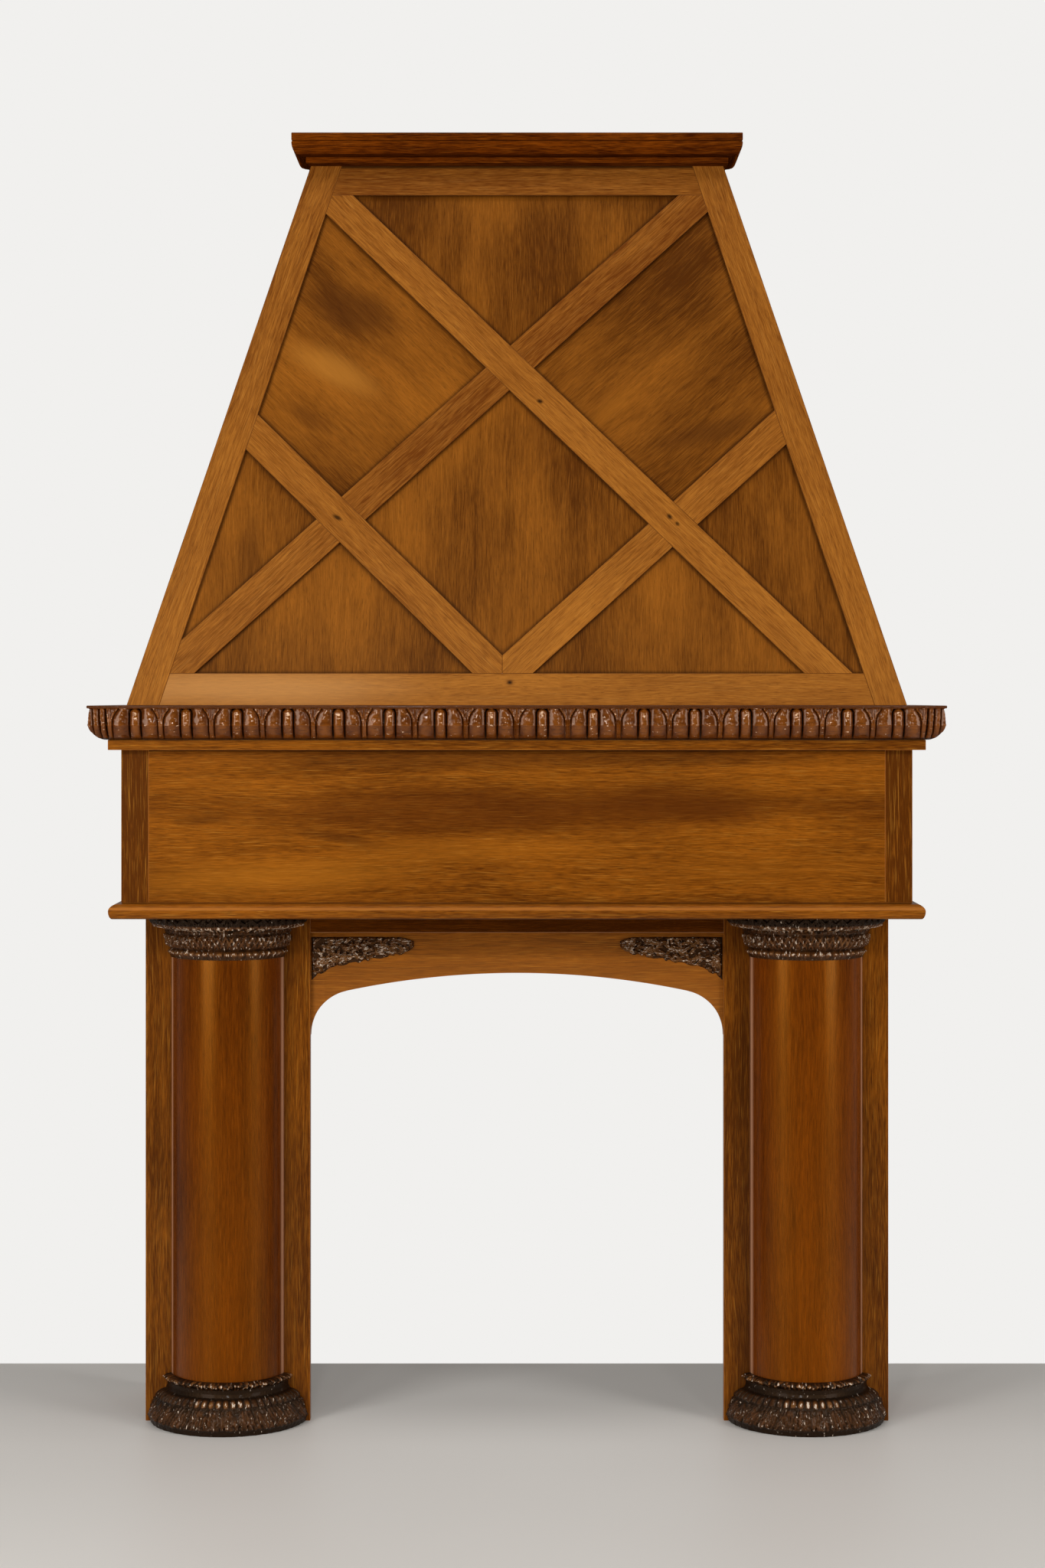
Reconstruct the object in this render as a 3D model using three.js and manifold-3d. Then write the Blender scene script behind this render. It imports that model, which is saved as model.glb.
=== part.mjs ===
// A hooded fireplace mantel in stained hardwood. Flat leg boards with half-round columns carry a
// frieze box, a shelf with an egg-and-dart edge, and a tapering hood with a lattice front and a crown.
// Millimetres, +Z up. The front faces -Y, and the origin is on the floor at the middle of the plan.
// "Depth" is always the distance out from the wall that the mantel backs on to.

import * as THREE from "three";
import { mergeVertices } from "three/addons/utils/BufferGeometryUtils.js";
import Module from "manifold-3d";

// Room left between two pieces that touch, and the thickness of the boards.
const gap = 0.3;
const board = 24;

// A cutting tool reaches this far past the piece that it trims.
const waste = 1;

// The legs: a flat board in front, and a side board back to the wall.
const leg = { inner: 432.5, outer: 776, depth: 280, height: 1061.5 };

// The arched opening: a flat middle arc runs into a tight arc at each side.
const arch = { crown: 934.4, middleRadius: 1727, cornerRadius: 95, setBack: 10 };
const batten = { height: 41.5, thickness: 8 };
const spandrel = { aboveArch: 55, inner: 216, outer: 430, top: 1010, ground: 6, leafRise: 7 };

// The columns are circles in plan, with their centre behind the face of the leg board.
const column = { x: 604.25, centreBehindBoard: 28, shaftRadius: 121, shaftBottom: 101, shaftTop: 970 };

// The frieze box over the legs, with a rounded board below it.
const nosing = { bottom: 1061.8, widest: 1078, top: 1094.2, half: 828, depth: 468.5 };
const nosingCurve = { under: 8, over: 26 };
const frieze = { bottom: 1094.5, top: 1404.7, half: 804, depth: 445, stile: 55 };

// The shelf: a plain fillet board, a carved edge moulding and the top board.
const fillet = { bottom: 1405, top: 1425.5, half: 828, depth: 468.5 };
const shelf = { bottom: 1425.8, top: 1495.1, half: 865.7, depth: 506, edge: 45, board: 22 };
const carving = { pitch: 102.5, plainTop: 11, shoulder: 5, faceBottom: 1455.8, underReach: 36 };
const plainCut = 1.5;

// The hood is a pyramid cut off level, with its back against the wall.
const hood = { foot: 1495.4, top: 2647.7, halfFoot: 794.5, halfTop: 440.8, depthFoot: 435, depthTop: 141 };
const frame = { stile: 63, rail: 67, strip: 70, panelBack: 8, panelThickness: 10 };

// The crown stands out from the top of the hood.
const crown = { bottom: 2648, top: 2712, reach: 39, half: 479.8, depth: 180, thickness: 46 };
const crownBand = { out: 10, bottom: 2653, top: 2665 };
const ovolo = { bottom: 2667, top: 2692.5, in: 14 };
const crownFillet = 2698;

const wallY = shelf.depth / 2;
const wasm = await Module();
wasm.setup();

const honey = wood("honey", 0x9c6a33, 0.42);
const brown = wood("brown", 0x7a4c20, 0.45);
const amber = wood("amber", 0x83501c, 0.4);
const red = wood("red_brown", 0x6b3413, 0.3);
const dark = wood("dark_carving", 0x3a2417, 0.35);

function wood(name, color, roughness) {
  const material = new THREE.MeshStandardMaterial({ color, roughness, metalness: 0 });
  material.name = name;
  return material;
}

// A geometry as a solid for cutting and joining, and a solid as a geometry.
function solidOf(geometry) {
  const bare = new THREE.BufferGeometry();
  bare.setAttribute("position", geometry.getAttribute("position"));
  bare.setIndex(geometry.getIndex());
  const merged = mergeVertices(bare, 1e-3);
  const vertProperties = merged.getAttribute("position").array;
  const triVerts = new Uint32Array(merged.getIndex().array);
  return new wasm.Manifold(new wasm.Mesh({ numProp: 3, vertProperties, triVerts }));
}

function geometryOf(solid) {
  const mesh = solid.getMesh();
  const geometry = new THREE.BufferGeometry();
  geometry.setAttribute("position", new THREE.BufferAttribute(mesh.vertProperties, 3));
  geometry.setIndex(new THREE.BufferAttribute(mesh.triVerts, 1));
  return geometry;
}

function piece(name, material, geometry) {
  const mesh = new THREE.Mesh(geometry.index ? geometry.toNonIndexed() : geometry, material);
  mesh.geometry.computeVertexNormals();
  mesh.name = name;
  return mesh;
}

// The same shape on the other side of the middle plane, with its faces turned to point outwards.
function mirrored(geometry) {
  const copy = (geometry.index ? geometry.toNonIndexed() : geometry.clone()).scale(-1, 1, 1);
  const position = copy.getAttribute("position");
  const first = new THREE.Vector3();
  const second = new THREE.Vector3();
  for (let i = 0; i < position.count; i += 3) {
    first.fromBufferAttribute(position, i);
    second.fromBufferAttribute(position, i + 1);
    position.setXYZ(i, second.x, second.y, second.z);
    position.setXYZ(i + 1, first.x, first.y, first.z);
  }
  return copy;
}

// A right-hand piece and its mirror image.
function pair(name, material, geometry) {
  return [piece(name + "_right", material, geometry), piece(name + "_left", material, mirrored(geometry))];
}

// A square-edged board between two widths, two depths and two heights.
function block([x0, x1], [depth0, depth1], [z0, z1]) {
  const geometry = new THREE.BoxGeometry(x1 - x0, depth1 - depth0, z1 - z0);
  return geometry.translate((x0 + x1) / 2, wallY - (depth0 + depth1) / 2, (z0 + z1) / 2);
}

// A closed skin over rings of points. Each ring can be seen whole from its own first point.
function loft(rings) {
  const count = rings[0].length;
  const at = (ring, i) => ring * count + (i % count);
  const faces = [];
  for (let ring = 0; ring + 1 < rings.length; ring++) {
    for (let i = 0; i < count; i++) {
      faces.push(at(ring, i), at(ring, i + 1), at(ring + 1, i + 1));
      faces.push(at(ring, i), at(ring + 1, i + 1), at(ring + 1, i));
    }
  }
  const last = rings.length - 1;
  for (let i = 1; i + 1 < count; i++) {
    faces.push(at(0, 0), at(0, i + 1), at(0, i));
    faces.push(at(last, 0), at(last, i), at(last, i + 1));
  }
  const geometry = new THREE.BufferGeometry();
  geometry.setAttribute("position", new THREE.Float32BufferAttribute(rings.flat(2), 3));
  geometry.setIndex(faces);
  return geometry;
}

// A board with a profile worked on its front and its two ends. The profile gives how far
// each level stands out, from the bottom up.
function profiledBoard(half, depth, profile) {
  const ring = ({ out, z }) => {
    const x = half + out;
    const front = wallY - depth - out;
    return [[-x, wallY, z], [-x, front, z], [x, front, z], [x, wallY, z]];
  };
  return loft(profile.map(ring));
}

// Points on a quarter of an ellipse, from its flat end (0) to its upright end (1).
function quarter(steps, make) {
  return Array.from({ length: steps + 1 }, (_, i) => {
    const angle = (i / steps) * (Math.PI / 2);
    return make(Math.sin(angle), Math.cos(angle));
  });
}

// The hood's front laid out flat: x across, y up the slope from its foot.
const hoodRise = hood.top - hood.foot;
const hoodRun = hood.depthFoot - hood.depthTop;
const slope = Math.hypot(hoodRise, hoodRun);
const hoodLean = Math.atan2(hoodRun, hoodRise);
const edgeLean = Math.atan2(hood.halfFoot - hood.halfTop, slope);

// Polygons in the flat are cut by half planes: a point on the line, and the way to the side that stays.
const point = (x, y) => new THREE.Vector2(x, y);

function halfPlane(on, towards) {
  return { on, towards: towards.clone().normalize() };
}

function moved(plane, by) {
  return { on: plane.on.clone().addScaledVector(plane.towards, by), towards: plane.towards };
}

function turned(plane) {
  return { on: plane.on, towards: plane.towards.clone().negate() };
}

function clip(polygon, planes) {
  return planes.reduce((shape, { on, towards }) => {
    const side = (p) => p.clone().sub(on).dot(towards);
    return shape.flatMap((p, i) => {
      const q = shape[(i + 1) % shape.length];
      const from = side(p);
      const to = side(q);
      const kept = from >= 0 ? [p] : [];
      return from * to < 0 ? [...kept, p.clone().lerp(q, from / (from - to))] : kept;
    });
  }, polygon);
}

// A plate with this outline in the flat, from one depth behind the face to another.
function plate(outline, behind0, behind1) {
  const shape = new THREE.Shape(outline);
  const geometry = new THREE.ExtrudeGeometry(shape, { depth: behind1 - behind0, bevelEnabled: false });
  return geometry.translate(0, 0, -behind1);
}

// Leans a flat plate back on to the hood's front. Its edges stay level from front to back.
function leanFront(geometry) {
  const across = new THREE.Vector3(1, 0, 0);
  const up = new THREE.Vector3(0, Math.sin(hoodLean), Math.cos(hoodLean));
  const outwards = new THREE.Vector3(0, -1 / Math.cos(hoodLean), 0);
  const matrix = new THREE.Matrix4().makeBasis(across, up, outwards);
  return geometry.applyMatrix4(matrix.setPosition(0, wallY - hood.depthFoot, hood.foot));
}

// The same for the right-hand side of the hood, laid out flat as depth across and height up.
const sideLean = Math.atan2(hood.halfFoot - hood.halfTop, hoodRise);

function leanSide(geometry) {
  const across = new THREE.Vector3(0, -1, 0);
  const up = new THREE.Vector3(-Math.tan(sideLean), 0, 1);
  const outwards = new THREE.Vector3(1 / Math.cos(sideLean), 0, 0);
  const matrix = new THREE.Matrix4().makeBasis(across, up, outwards.negate());
  return geometry.applyMatrix4(matrix.setPosition(hood.halfFoot, wallY, hood.foot));
}

// The slope's outline and the framed field inside its stiles and rails.
const wide = 2 * hood.halfFoot;
const sheet = [point(-wide, 0), point(wide, 0), point(wide, slope), point(-wide, slope)];
const rightEdge = halfPlane(point(hood.halfFoot, 0), point(-Math.cos(edgeLean), -Math.sin(edgeLean)));
const leftEdge = halfPlane(point(-hood.halfFoot, 0), point(Math.cos(edgeLean), -Math.sin(edgeLean)));
const aboveBottomRail = halfPlane(point(0, frame.rail), point(0, 1));
const belowTopRail = halfPlane(point(0, slope - frame.rail), point(0, -1));
const field = clip(sheet, [
  moved(rightEdge, frame.stile + gap),
  moved(leftEdge, frame.stile + gap),
  moved(aboveBottomRail, gap),
  moved(belowTopRail, gap),
]);

// A lattice strip along a line in the flat. Its upper half plane holds what lies above the line.
function strip(from, to, limits = []) {
  const along = to.clone().sub(from);
  const upper = halfPlane(from, along.x > 0 ? point(-along.y, along.x) : point(along.y, -along.x));
  const edges = [moved(upper, -frame.strip / 2), moved(turned(upper), -frame.strip / 2)];
  return {
    above: moved(upper, frame.strip / 2 + gap),
    below: moved(turned(upper), frame.strip / 2 + gap),
    outline: clip(field, [...edges, ...limits]),
    widened: clip(sheet, edges.map((edge) => moved(edge, -gap))),
  };
}

// The four strips, named by length and by whether they fall or rise to the right.
const meeting = -29.8;
const leftOfMeeting = halfPlane(point(meeting - gap / 2, 0), point(-1, 0));
const rightOfMeeting = halfPlane(point(meeting + gap / 2, 0), point(1, 0));
const longFalling = strip(point(-375, 1097), point(637, 67));
const longRising = strip(point(-678, 98), point(367, 1095));
const shortFalling = strip(point(-551, 586), point(-60, 86), [leftOfMeeting]);
const shortRising = strip(point(2, 87), point(546, 595), [rightOfMeeting]);

// Half laps: a strip loses its back half where it lies over another, and its front half
// where it runs under one.
function lapped(strip, over, under) {
  const middle = board / 2;
  const body = solidOf(plate(strip.outline, 0, board));
  const backs = over.map((other) => solidOf(plate(other.widened, middle - gap / 2, board + waste)));
  const fronts = under.map((other) => solidOf(plate(other.widened, -waste, middle + gap / 2)));
  const cut = [...backs, ...fronts].reduce((left, other) => left.subtract(other), body);
  return leanFront(geometryOf(cut));
}

function hoodFront() {
  const stile = clip(sheet, [rightEdge, turned(moved(rightEdge, frame.stile))]);
  const betweenStiles = [moved(rightEdge, frame.stile + gap), moved(leftEdge, frame.stile + gap)];
  const topRail = clip(sheet, [...betweenStiles, turned(belowTopRail)]);
  const bottomRail = clip(sheet, [...betweenStiles, turned(aboveBottomRail)]);
  const framed = (outline) => leanFront(plate(outline, 0, board));
  return [
    ...pair("hood_stile", honey, framed(stile)),
    piece("hood_top_rail", honey, framed(topRail)),
    piece("hood_bottom_rail", honey, framed(bottomRail)),
    piece("lattice_long_falling", honey, lapped(longFalling, [longRising, shortRising], [])),
    piece("lattice_long_rising", honey, lapped(longRising, [], [longFalling, shortFalling])),
    piece("lattice_short_falling", honey, lapped(shortFalling, [longRising], [])),
    piece("lattice_short_rising", honey, lapped(shortRising, [], [longFalling])),
  ];
}

// One panel fills each field that the strips leave.
function hoodPanels() {
  const panels = {
    panel_top: [longFalling.above, longRising.above],
    panel_upper_left: [longFalling.below, longRising.above, shortFalling.above],
    panel_upper_right: [longFalling.above, longRising.below, shortRising.above],
    panel_centre: [longFalling.below, longRising.below, shortFalling.above, shortRising.above],
    panel_left: [longRising.above, shortFalling.below],
    panel_right: [longFalling.above, shortRising.below],
    panel_bottom_left: [longRising.below, shortFalling.below],
    panel_bottom_right: [longFalling.below, shortRising.below],
  };
  const back = frame.panelBack + frame.panelThickness;
  return Object.entries(panels).map(([name, sides]) =>
    piece(name, brown, leanFront(plate(clip(field, sides), frame.panelBack, back))),
  );
}

// Each side of the hood is a plain framed panel behind the front's boards.
function hoodSides() {
  const frontBack = hood.depthFoot - board / Math.cos(hoodLean) - gap;
  const behindFront = halfPlane(point(frontBack, 0), point(-hoodRise, -hoodRun));
  const deep = hood.depthFoot;
  const corners = [point(0, 0), point(deep, 0), point(deep, hoodRise), point(0, hoodRise)];
  const side = clip(corners, [behindFront]);
  const overBottomRail = halfPlane(point(0, frame.rail), point(0, 1));
  const underTopRail = halfPlane(point(0, hoodRise - frame.rail), point(0, -1));
  const frontOfStile = halfPlane(point(frame.stile, 0), point(1, 0));
  const between = [moved(overBottomRail, gap), moved(underTopRail, gap)];
  const framed = (planes) => leanSide(platedSide(clip(side, planes), 0, board));
  const panel = clip(side, [...between, moved(frontOfStile, gap)]);
  const panelBack = frame.panelBack + frame.panelThickness;
  return [
    ...pair("hood_side_bottom_rail", honey, framed([turned(overBottomRail)])),
    ...pair("hood_side_top_rail", honey, framed([turned(underTopRail)])),
    ...pair("hood_side_rear_stile", honey, framed([...between, turned(frontOfStile)])),
    ...pair("hood_side_panel", brown, leanSide(platedSide(panel, frame.panelBack, panelBack))),
  ];
}

// A side plate grows inwards, because its flat is seen from inside the hood.
function platedSide(outline, behind0, behind1) {
  return plate(outline, -behind1, -behind0);
}

// The crown: a mitred moulding round a dust board.
function crownPieces() {
  const core = crown.half - crown.reach;
  const ease = 2;
  const profile = [
    { out: crownBand.out - 3.5 * ease, z: crown.bottom },
    { out: crownBand.out - ease, z: crownBand.bottom - ease },
    { out: crownBand.out, z: crownBand.bottom },
    { out: crownBand.out, z: crownBand.top },
    { out: crown.reach - ovolo.in - ease, z: ovolo.bottom },
    ...quarter(4, (sin, cos) => ({
      out: crown.reach - ovolo.in * (1 - sin),
      z: ovolo.top - (ovolo.top - ovolo.bottom - ease / 4) * cos,
    })),
    { out: crown.reach - ease, z: crownFillet - ease },
    { out: crown.reach, z: crownFillet },
    { out: crown.reach, z: crown.top },
  ];
  const whole = solidOf(profiledBoard(core, crown.depth - crown.reach, profile));
  const innerHalf = crown.half - crown.thickness;
  const innerDepth = crown.depth - crown.thickness;
  const height = [crown.bottom - waste, crown.top + waste];
  const hollow = solidOf(block([-innerHalf, innerHalf], [-waste, innerDepth], height));
  const ring = whole.subtract(hollow);
  const dustBoard = block(
    [-innerHalf + gap, innerHalf - gap],
    [0, innerDepth - gap],
    [crown.top - board / 2, crown.top],
  );
  const mitre = mitreTools(crown, height);
  return [
    piece("crown_front", red, geometryOf(ring.intersect(mitre.front))),
    ...pair("crown_return", red, geometryOf(ring.intersect(mitre.right))),
    piece("top_board", brown, dustBoard),
  ];
}

// Solids that part a moulding along its two mitres, with the gap between the parts.
function mitreTools({ half, depth, thickness }, [z0, z1]) {
  const front = wallY - depth;
  const reach = 10;
  const inward = thickness + reach;
  const prism = (outline) => {
    const shape = new THREE.Shape(outline);
    const geometry = new THREE.ExtrudeGeometry(shape, { depth: z1 - z0, bevelEnabled: false });
    return solidOf(geometry.translate(0, 0, z0));
  };
  const frontOutline = [
    point(-half - reach, front - reach),
    point(half + reach, front - reach),
    point(half - inward, front + inward),
    point(-half + inward, front + inward),
  ];
  const rightOutline = [
    point(half + reach, front - reach + gap),
    point(half + reach, wallY),
    point(half - inward, wallY),
    point(half - inward, front + inward + gap),
  ];
  return { front: prism(frontOutline), right: prism(rightOutline) };
}

// How deep the egg-and-dart is cut at a place along the moulding. A dart stands at 0 and
// an egg-shaped tongue half a pitch further on, with a husk on each side of it.
const eggAndDart = [
  { at: 0, cut: 2 },
  { at: 7.5, cut: 9 },
  { at: 11, cut: 3.5 },
  { at: 24, cut: 2 },
  { at: 35, cut: 4 },
  { at: 38.5, cut: 9.5 },
  { at: 42, cut: 2.5 },
  { at: 51.25, cut: 0 },
];

// Every column of the carving between two places, as its place and its depth of cut.
function carvedColumns(reach) {
  const half = eggAndDart.slice(0, -1).filter(({ at }) => at > 0);
  const period = [
    eggAndDart[0],
    ...half,
    eggAndDart.at(-1),
    ...half.map(({ at, cut }) => ({ at: carving.pitch - at, cut })).reverse(),
  ];
  const count = Math.ceil(reach / carving.pitch);
  const columns = [];
  for (let i = -count; i < count; i++) {
    for (const { at, cut } of period) {
      columns.push({ at: i * carving.pitch + at, cut });
    }
  }
  return columns.filter(({ at }) => Math.abs(at) < reach);
}

// The section of the carved edge at one column: out from the shelf board, and height. Its
// flat back, top and bottom have waste on them, which is trimmed off.
function carvedSection(cut) {
  const faceTop = shelf.top - carving.plainTop;
  const shoulderCut = 0.6 * cut;
  const fade = (cos) => Math.min(1, 1.4 * cos);
  const under = quarter(2, (sin, cos) => ({
    out: shelf.edge - carving.underReach * (1 - cos) - cut * fade(cos),
    z: carving.faceBottom - (carving.faceBottom - shelf.bottom) * sin,
  }));
  return [
    { out: -waste, z: shelf.top + waste },
    { out: shelf.edge, z: shelf.top + waste },
    { out: shelf.edge, z: faceTop },
    { out: shelf.edge - shoulderCut, z: faceTop - carving.shoulder },
    ...under,
    { out: under.at(-1).out, z: shelf.bottom - waste },
    { out: -waste, z: shelf.bottom - waste },
  ];
}

function shelfCarving() {
  const innerHalf = shelf.half - shelf.edge;
  const innerDepth = shelf.depth - shelf.edge;
  const along = carvedColumns(innerHalf - 2);
  const frontRing = (spread, cut, at) =>
    carvedSection(cut).map(({ out, z }) => [at + spread * out, wallY - innerDepth - out, z]);
  const front = loft([
    frontRing(-1, plainCut, -innerHalf),
    frontRing(0, plainCut, -innerHalf),
    ...along.map(({ at, cut }) => frontRing(0, cut, at)),
    frontRing(0, plainCut, innerHalf),
    frontRing(1, plainCut, innerHalf),
  ]);
  const sideRing = (spread, cut, depth) =>
    carvedSection(cut).map(({ out, z }) => [innerHalf + out + gap / 2, wallY - depth - spread * out, z]);
  const deep = carvedColumns(innerDepth - 2).filter(({ at }) => at > 0);
  const side = loft([
    sideRing(0, plainCut, 0),
    ...deep.map(({ at, cut }) => sideRing(0, cut, at)),
    sideRing(0, plainCut, innerDepth - gap),
    sideRing(1, plainCut, innerDepth - gap),
  ].reverse());
  const keep = shelf.half + gap;
  const height = [shelf.bottom, shelf.top];
  const frontTrim = solidOf(block([-keep, keep], [innerDepth, shelf.depth + waste], height));
  const sideTrim = solidOf(block([innerHalf + gap / 2, keep], [0, shelf.depth + waste], height));
  return [
    piece("shelf_carving_front", red, geometryOf(solidOf(front).intersect(frontTrim))),
    ...pair("shelf_carving", red, geometryOf(solidOf(side).intersect(sideTrim))),
  ];
}

function shelfPieces() {
  const innerHalf = shelf.half - shelf.edge - gap;
  const innerDepth = shelf.depth - shelf.edge - gap;
  const top = block([-innerHalf, innerHalf], [0, innerDepth], [shelf.top - shelf.board, shelf.top]);
  const plain = block([-fillet.half, fillet.half], [0, fillet.depth], [fillet.bottom, fillet.top]);
  return [piece("shelf_board", honey, top), piece("fillet_board", amber, plain), ...shelfCarving()];
}

function friezePieces() {
  const height = [frieze.bottom, frieze.top];
  const front = [frieze.depth - board, frieze.depth];
  const stileInner = frieze.half - frieze.stile;
  const middle = block([-stileInner + gap, stileInner - gap], front, height);
  return [
    piece("frieze_front", amber, middle),
    ...pair("frieze_stile", brown, block([stileInner, frieze.half], front, height)),
    ...pair("frieze_side", amber, block([frieze.half - board, frieze.half], [0, front[0] - gap], height)),
    piece("nosing_board", amber, nosingBoard()),
  ];
}

// Rounded edge: a tight curve below its widest line and a longer one above.
function nosingBoard() {
  const { bottom, widest, top } = nosing;
  const under = quarter(3, (sin, cos) => ({
    out: -nosingCurve.under * (1 - sin),
    z: widest - (widest - bottom) * cos,
  }));
  const over = quarter(4, (sin, cos) => ({
    out: -nosingCurve.over * (1 - cos),
    z: widest + (top - widest) * sin,
  }));
  return profiledBoard(nosing.half, nosing.depth, [...under, ...over.slice(1)]);
}

// The arch's centres. The corner arcs meet the jambs and the middle arc without a kink.
const cornerX = leg.inner - arch.cornerRadius;
const middleCentre = arch.crown - arch.middleRadius;
const centreDistance = arch.middleRadius - arch.cornerRadius;
const springing = middleCentre + Math.sqrt(centreDistance ** 2 - cornerX ** 2);
const cornerAngle = Math.asin(cornerX / centreDistance);

function archBoard() {
  const outer = leg.inner - gap;
  const tight = arch.cornerRadius - gap;
  const leftTurn = Math.PI / 2 + cornerAngle;
  const rightTurn = Math.PI / 2 - cornerAngle;
  const outline = new THREE.Shape();
  outline.moveTo(-outer, leg.height);
  outline.lineTo(-outer, springing);
  outline.absarc(-cornerX, springing, tight, Math.PI, leftTurn, true);
  outline.absarc(0, middleCentre, arch.middleRadius, leftTurn, rightTurn, true);
  outline.absarc(cornerX, springing, tight, rightTurn, 0, true);
  outline.lineTo(outer, leg.height);
  const settings = { depth: board, bevelEnabled: false, curveSegments: 10 };
  const geometry = new THREE.ExtrudeGeometry(outline, settings).rotateX(Math.PI / 2);
  return geometry.translate(0, wallY - leg.depth + arch.setBack + board, 0);
}

// Foliage over each haunch of the arch: a plate whose lower edge keeps its distance from the
// arch, with rows of rounded leaves worked in its face. It is rounded off towards its inner tip
// and eased down to its ground at the edges.
function spandrelCarving() {
  const columns = 26;
  const rows = 6;
  const face = leg.depth - arch.setBack + gap;
  const lowerEdge = (x) => {
    const corner = arch.cornerRadius + spandrel.aboveArch;
    const overCorner = x > cornerX + corner * Math.sin(cornerAngle);
    const radius = overCorner ? corner : arch.middleRadius + spandrel.aboveArch;
    const centre = overCorner ? [cornerX, springing] : [0, middleCentre];
    return centre[1] + Math.sqrt(Math.max(0, radius ** 2 - (x - centre[0]) ** 2));
  };
  const ring = (i) => {
    const t = i / columns;
    const x = spandrel.inner + (spandrel.outer - spandrel.inner) * t;
    const tip = Math.sqrt(Math.min(1, t * 7 + 0.12));
    const low = lowerEdge(x);
    const middle = (spandrel.top + low) / 2 + 4 * (1 - tip);
    const reach = ((spandrel.top - low) / 2) * tip;
    const leaf = (j) => {
      const v = j / rows;
      const edge = Math.min(1, Math.min(v, 1 - v) * rows, t * 8 + 0.3, (1 - t) * 10 + 0.3);
      const lobe = Math.abs(Math.sin(t * 17 + v * 3)) * Math.abs(Math.cos(v * 7 - t * 5));
      const depth = face + (spandrel.ground + spandrel.leafRise * lobe) * edge;
      return [x, wallY - depth, middle + reach * (2 * v - 1)];
    };
    const relief = Array.from({ length: rows + 1 }, (_, j) => leaf(j));
    const behind = (z) => [x, wallY - face, z];
    return [behind(middle), behind(middle - reach), ...relief, behind(middle + reach)];
  };
  return loft(Array.from({ length: columns + 1 }, (_, i) => ring(i)).reverse());
}

// A half-round turned form in front of the right-hand leg board. Each level has a radius and
// the height of the leaves or beads that are cut round it.
function halfTurned(levels, counts, steps) {
  const hollowShare = 0.6;
  const centreDepth = leg.depth - column.centreBehindBoard;
  const ring = ({ z, radius, lobe = 0, row = "leaf" }) => {
    const arc = Array.from({ length: steps + 1 }, (_, i) => {
      const turn = i / steps;
      const wave = Math.abs(Math.sin(Math.PI * turn * counts[row]));
      const r = radius + lobe * (wave - hollowShare);
      const angle = Math.PI * (turn - 0.5);
      return [column.x + r * Math.sin(angle), wallY - centreDepth - r * Math.cos(angle), z];
    });
    return [[column.x, wallY - centreDepth, z], ...arc];
  };
  const whole = solidOf(loft(levels.map(ring)));
  const front = [leg.depth + gap, shelf.depth];
  const z = [levels[0].z - waste, levels.at(-1).z + waste];
  return geometryOf(whole.intersect(solidOf(block([leg.inner, leg.outer], front, z))));
}

function columnShaft() {
  const { shaftRadius: radius, shaftBottom, shaftTop } = column;
  return halfTurned([{ z: shaftBottom + gap, radius }, { z: shaftTop - gap, radius }], { leaf: 1 }, 52);
}

// The capital: a row of beads, a band of leaves, a dark groove and a leafy flange.
function columnCapital() {
  const levels = [
    { z: column.shaftTop, radius: 123 },
    { z: 979, radius: 127, lobe: 4, row: "bead" },
    { z: 986, radius: 124 },
    { z: 990, radius: 128 },
    { z: 999, radius: 136, lobe: 7 },
    { z: 1020, radius: 139, lobe: 8 },
    { z: 1025, radius: 131 },
    { z: 1032, radius: 134 },
    { z: 1037, radius: 157, lobe: 9 },
    { z: 1048, radius: 166, lobe: 7 },
    { z: leg.height, radius: 168 },
  ];
  return halfTurned(levels, { leaf: 12, bead: 24 }, 48);
}

// The base: a leafy cushion that spreads to the floor, a smooth cove and a ring of beads.
function columnBase() {
  const levels = [
    { z: 0, radius: 170 },
    { z: 8, radius: 172, lobe: 3 },
    { z: 22, radius: 167, lobe: 8 },
    { z: 57, radius: 152, lobe: 8 },
    { z: 68, radius: 146, lobe: 3 },
    { z: 73, radius: 132 },
    { z: 88, radius: 129 },
    { z: 95, radius: 138, lobe: 4, row: "bead" },
    { z: column.shaftBottom, radius: 123 },
  ];
  return halfTurned(levels, { leaf: 14, bead: 28 }, 56);
}

function legPieces() {
  const upright = [0, leg.height];
  return [
    ...pair("leg_board", amber, block([leg.inner, leg.outer], [leg.depth - board, leg.depth], upright)),
    ...pair("leg_side", amber, block([leg.outer - board, leg.outer], [0, leg.depth - board - gap], upright)),
    ...pair("column_shaft", red, columnShaft()),
    ...pair("column_capital", dark, columnCapital()),
    ...pair("column_base", dark, columnBase()),
  ];
}

function openingPieces() {
  const across = [-leg.inner + gap, leg.inner - gap];
  const front = leg.depth - arch.setBack + gap;
  const strip = block(across, [front, front + batten.thickness], [leg.height - batten.height, leg.height]);
  return [
    piece("arch_board", amber, archBoard()),
    piece("arch_batten", amber, strip),
    ...pair("spandrel_carving", dark, spandrelCarving()),
  ];
}

const mantel = new THREE.Group();
mantel.add(...legPieces(), ...openingPieces(), ...friezePieces(), ...shelfPieces());
mantel.add(...hoodFront(), ...hoodPanels(), ...hoodSides(), ...crownPieces());

export default mantel;
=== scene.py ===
import logging
import math
from dataclasses import dataclass, field
from enum import Enum
from typing import Sequence, Union

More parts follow.
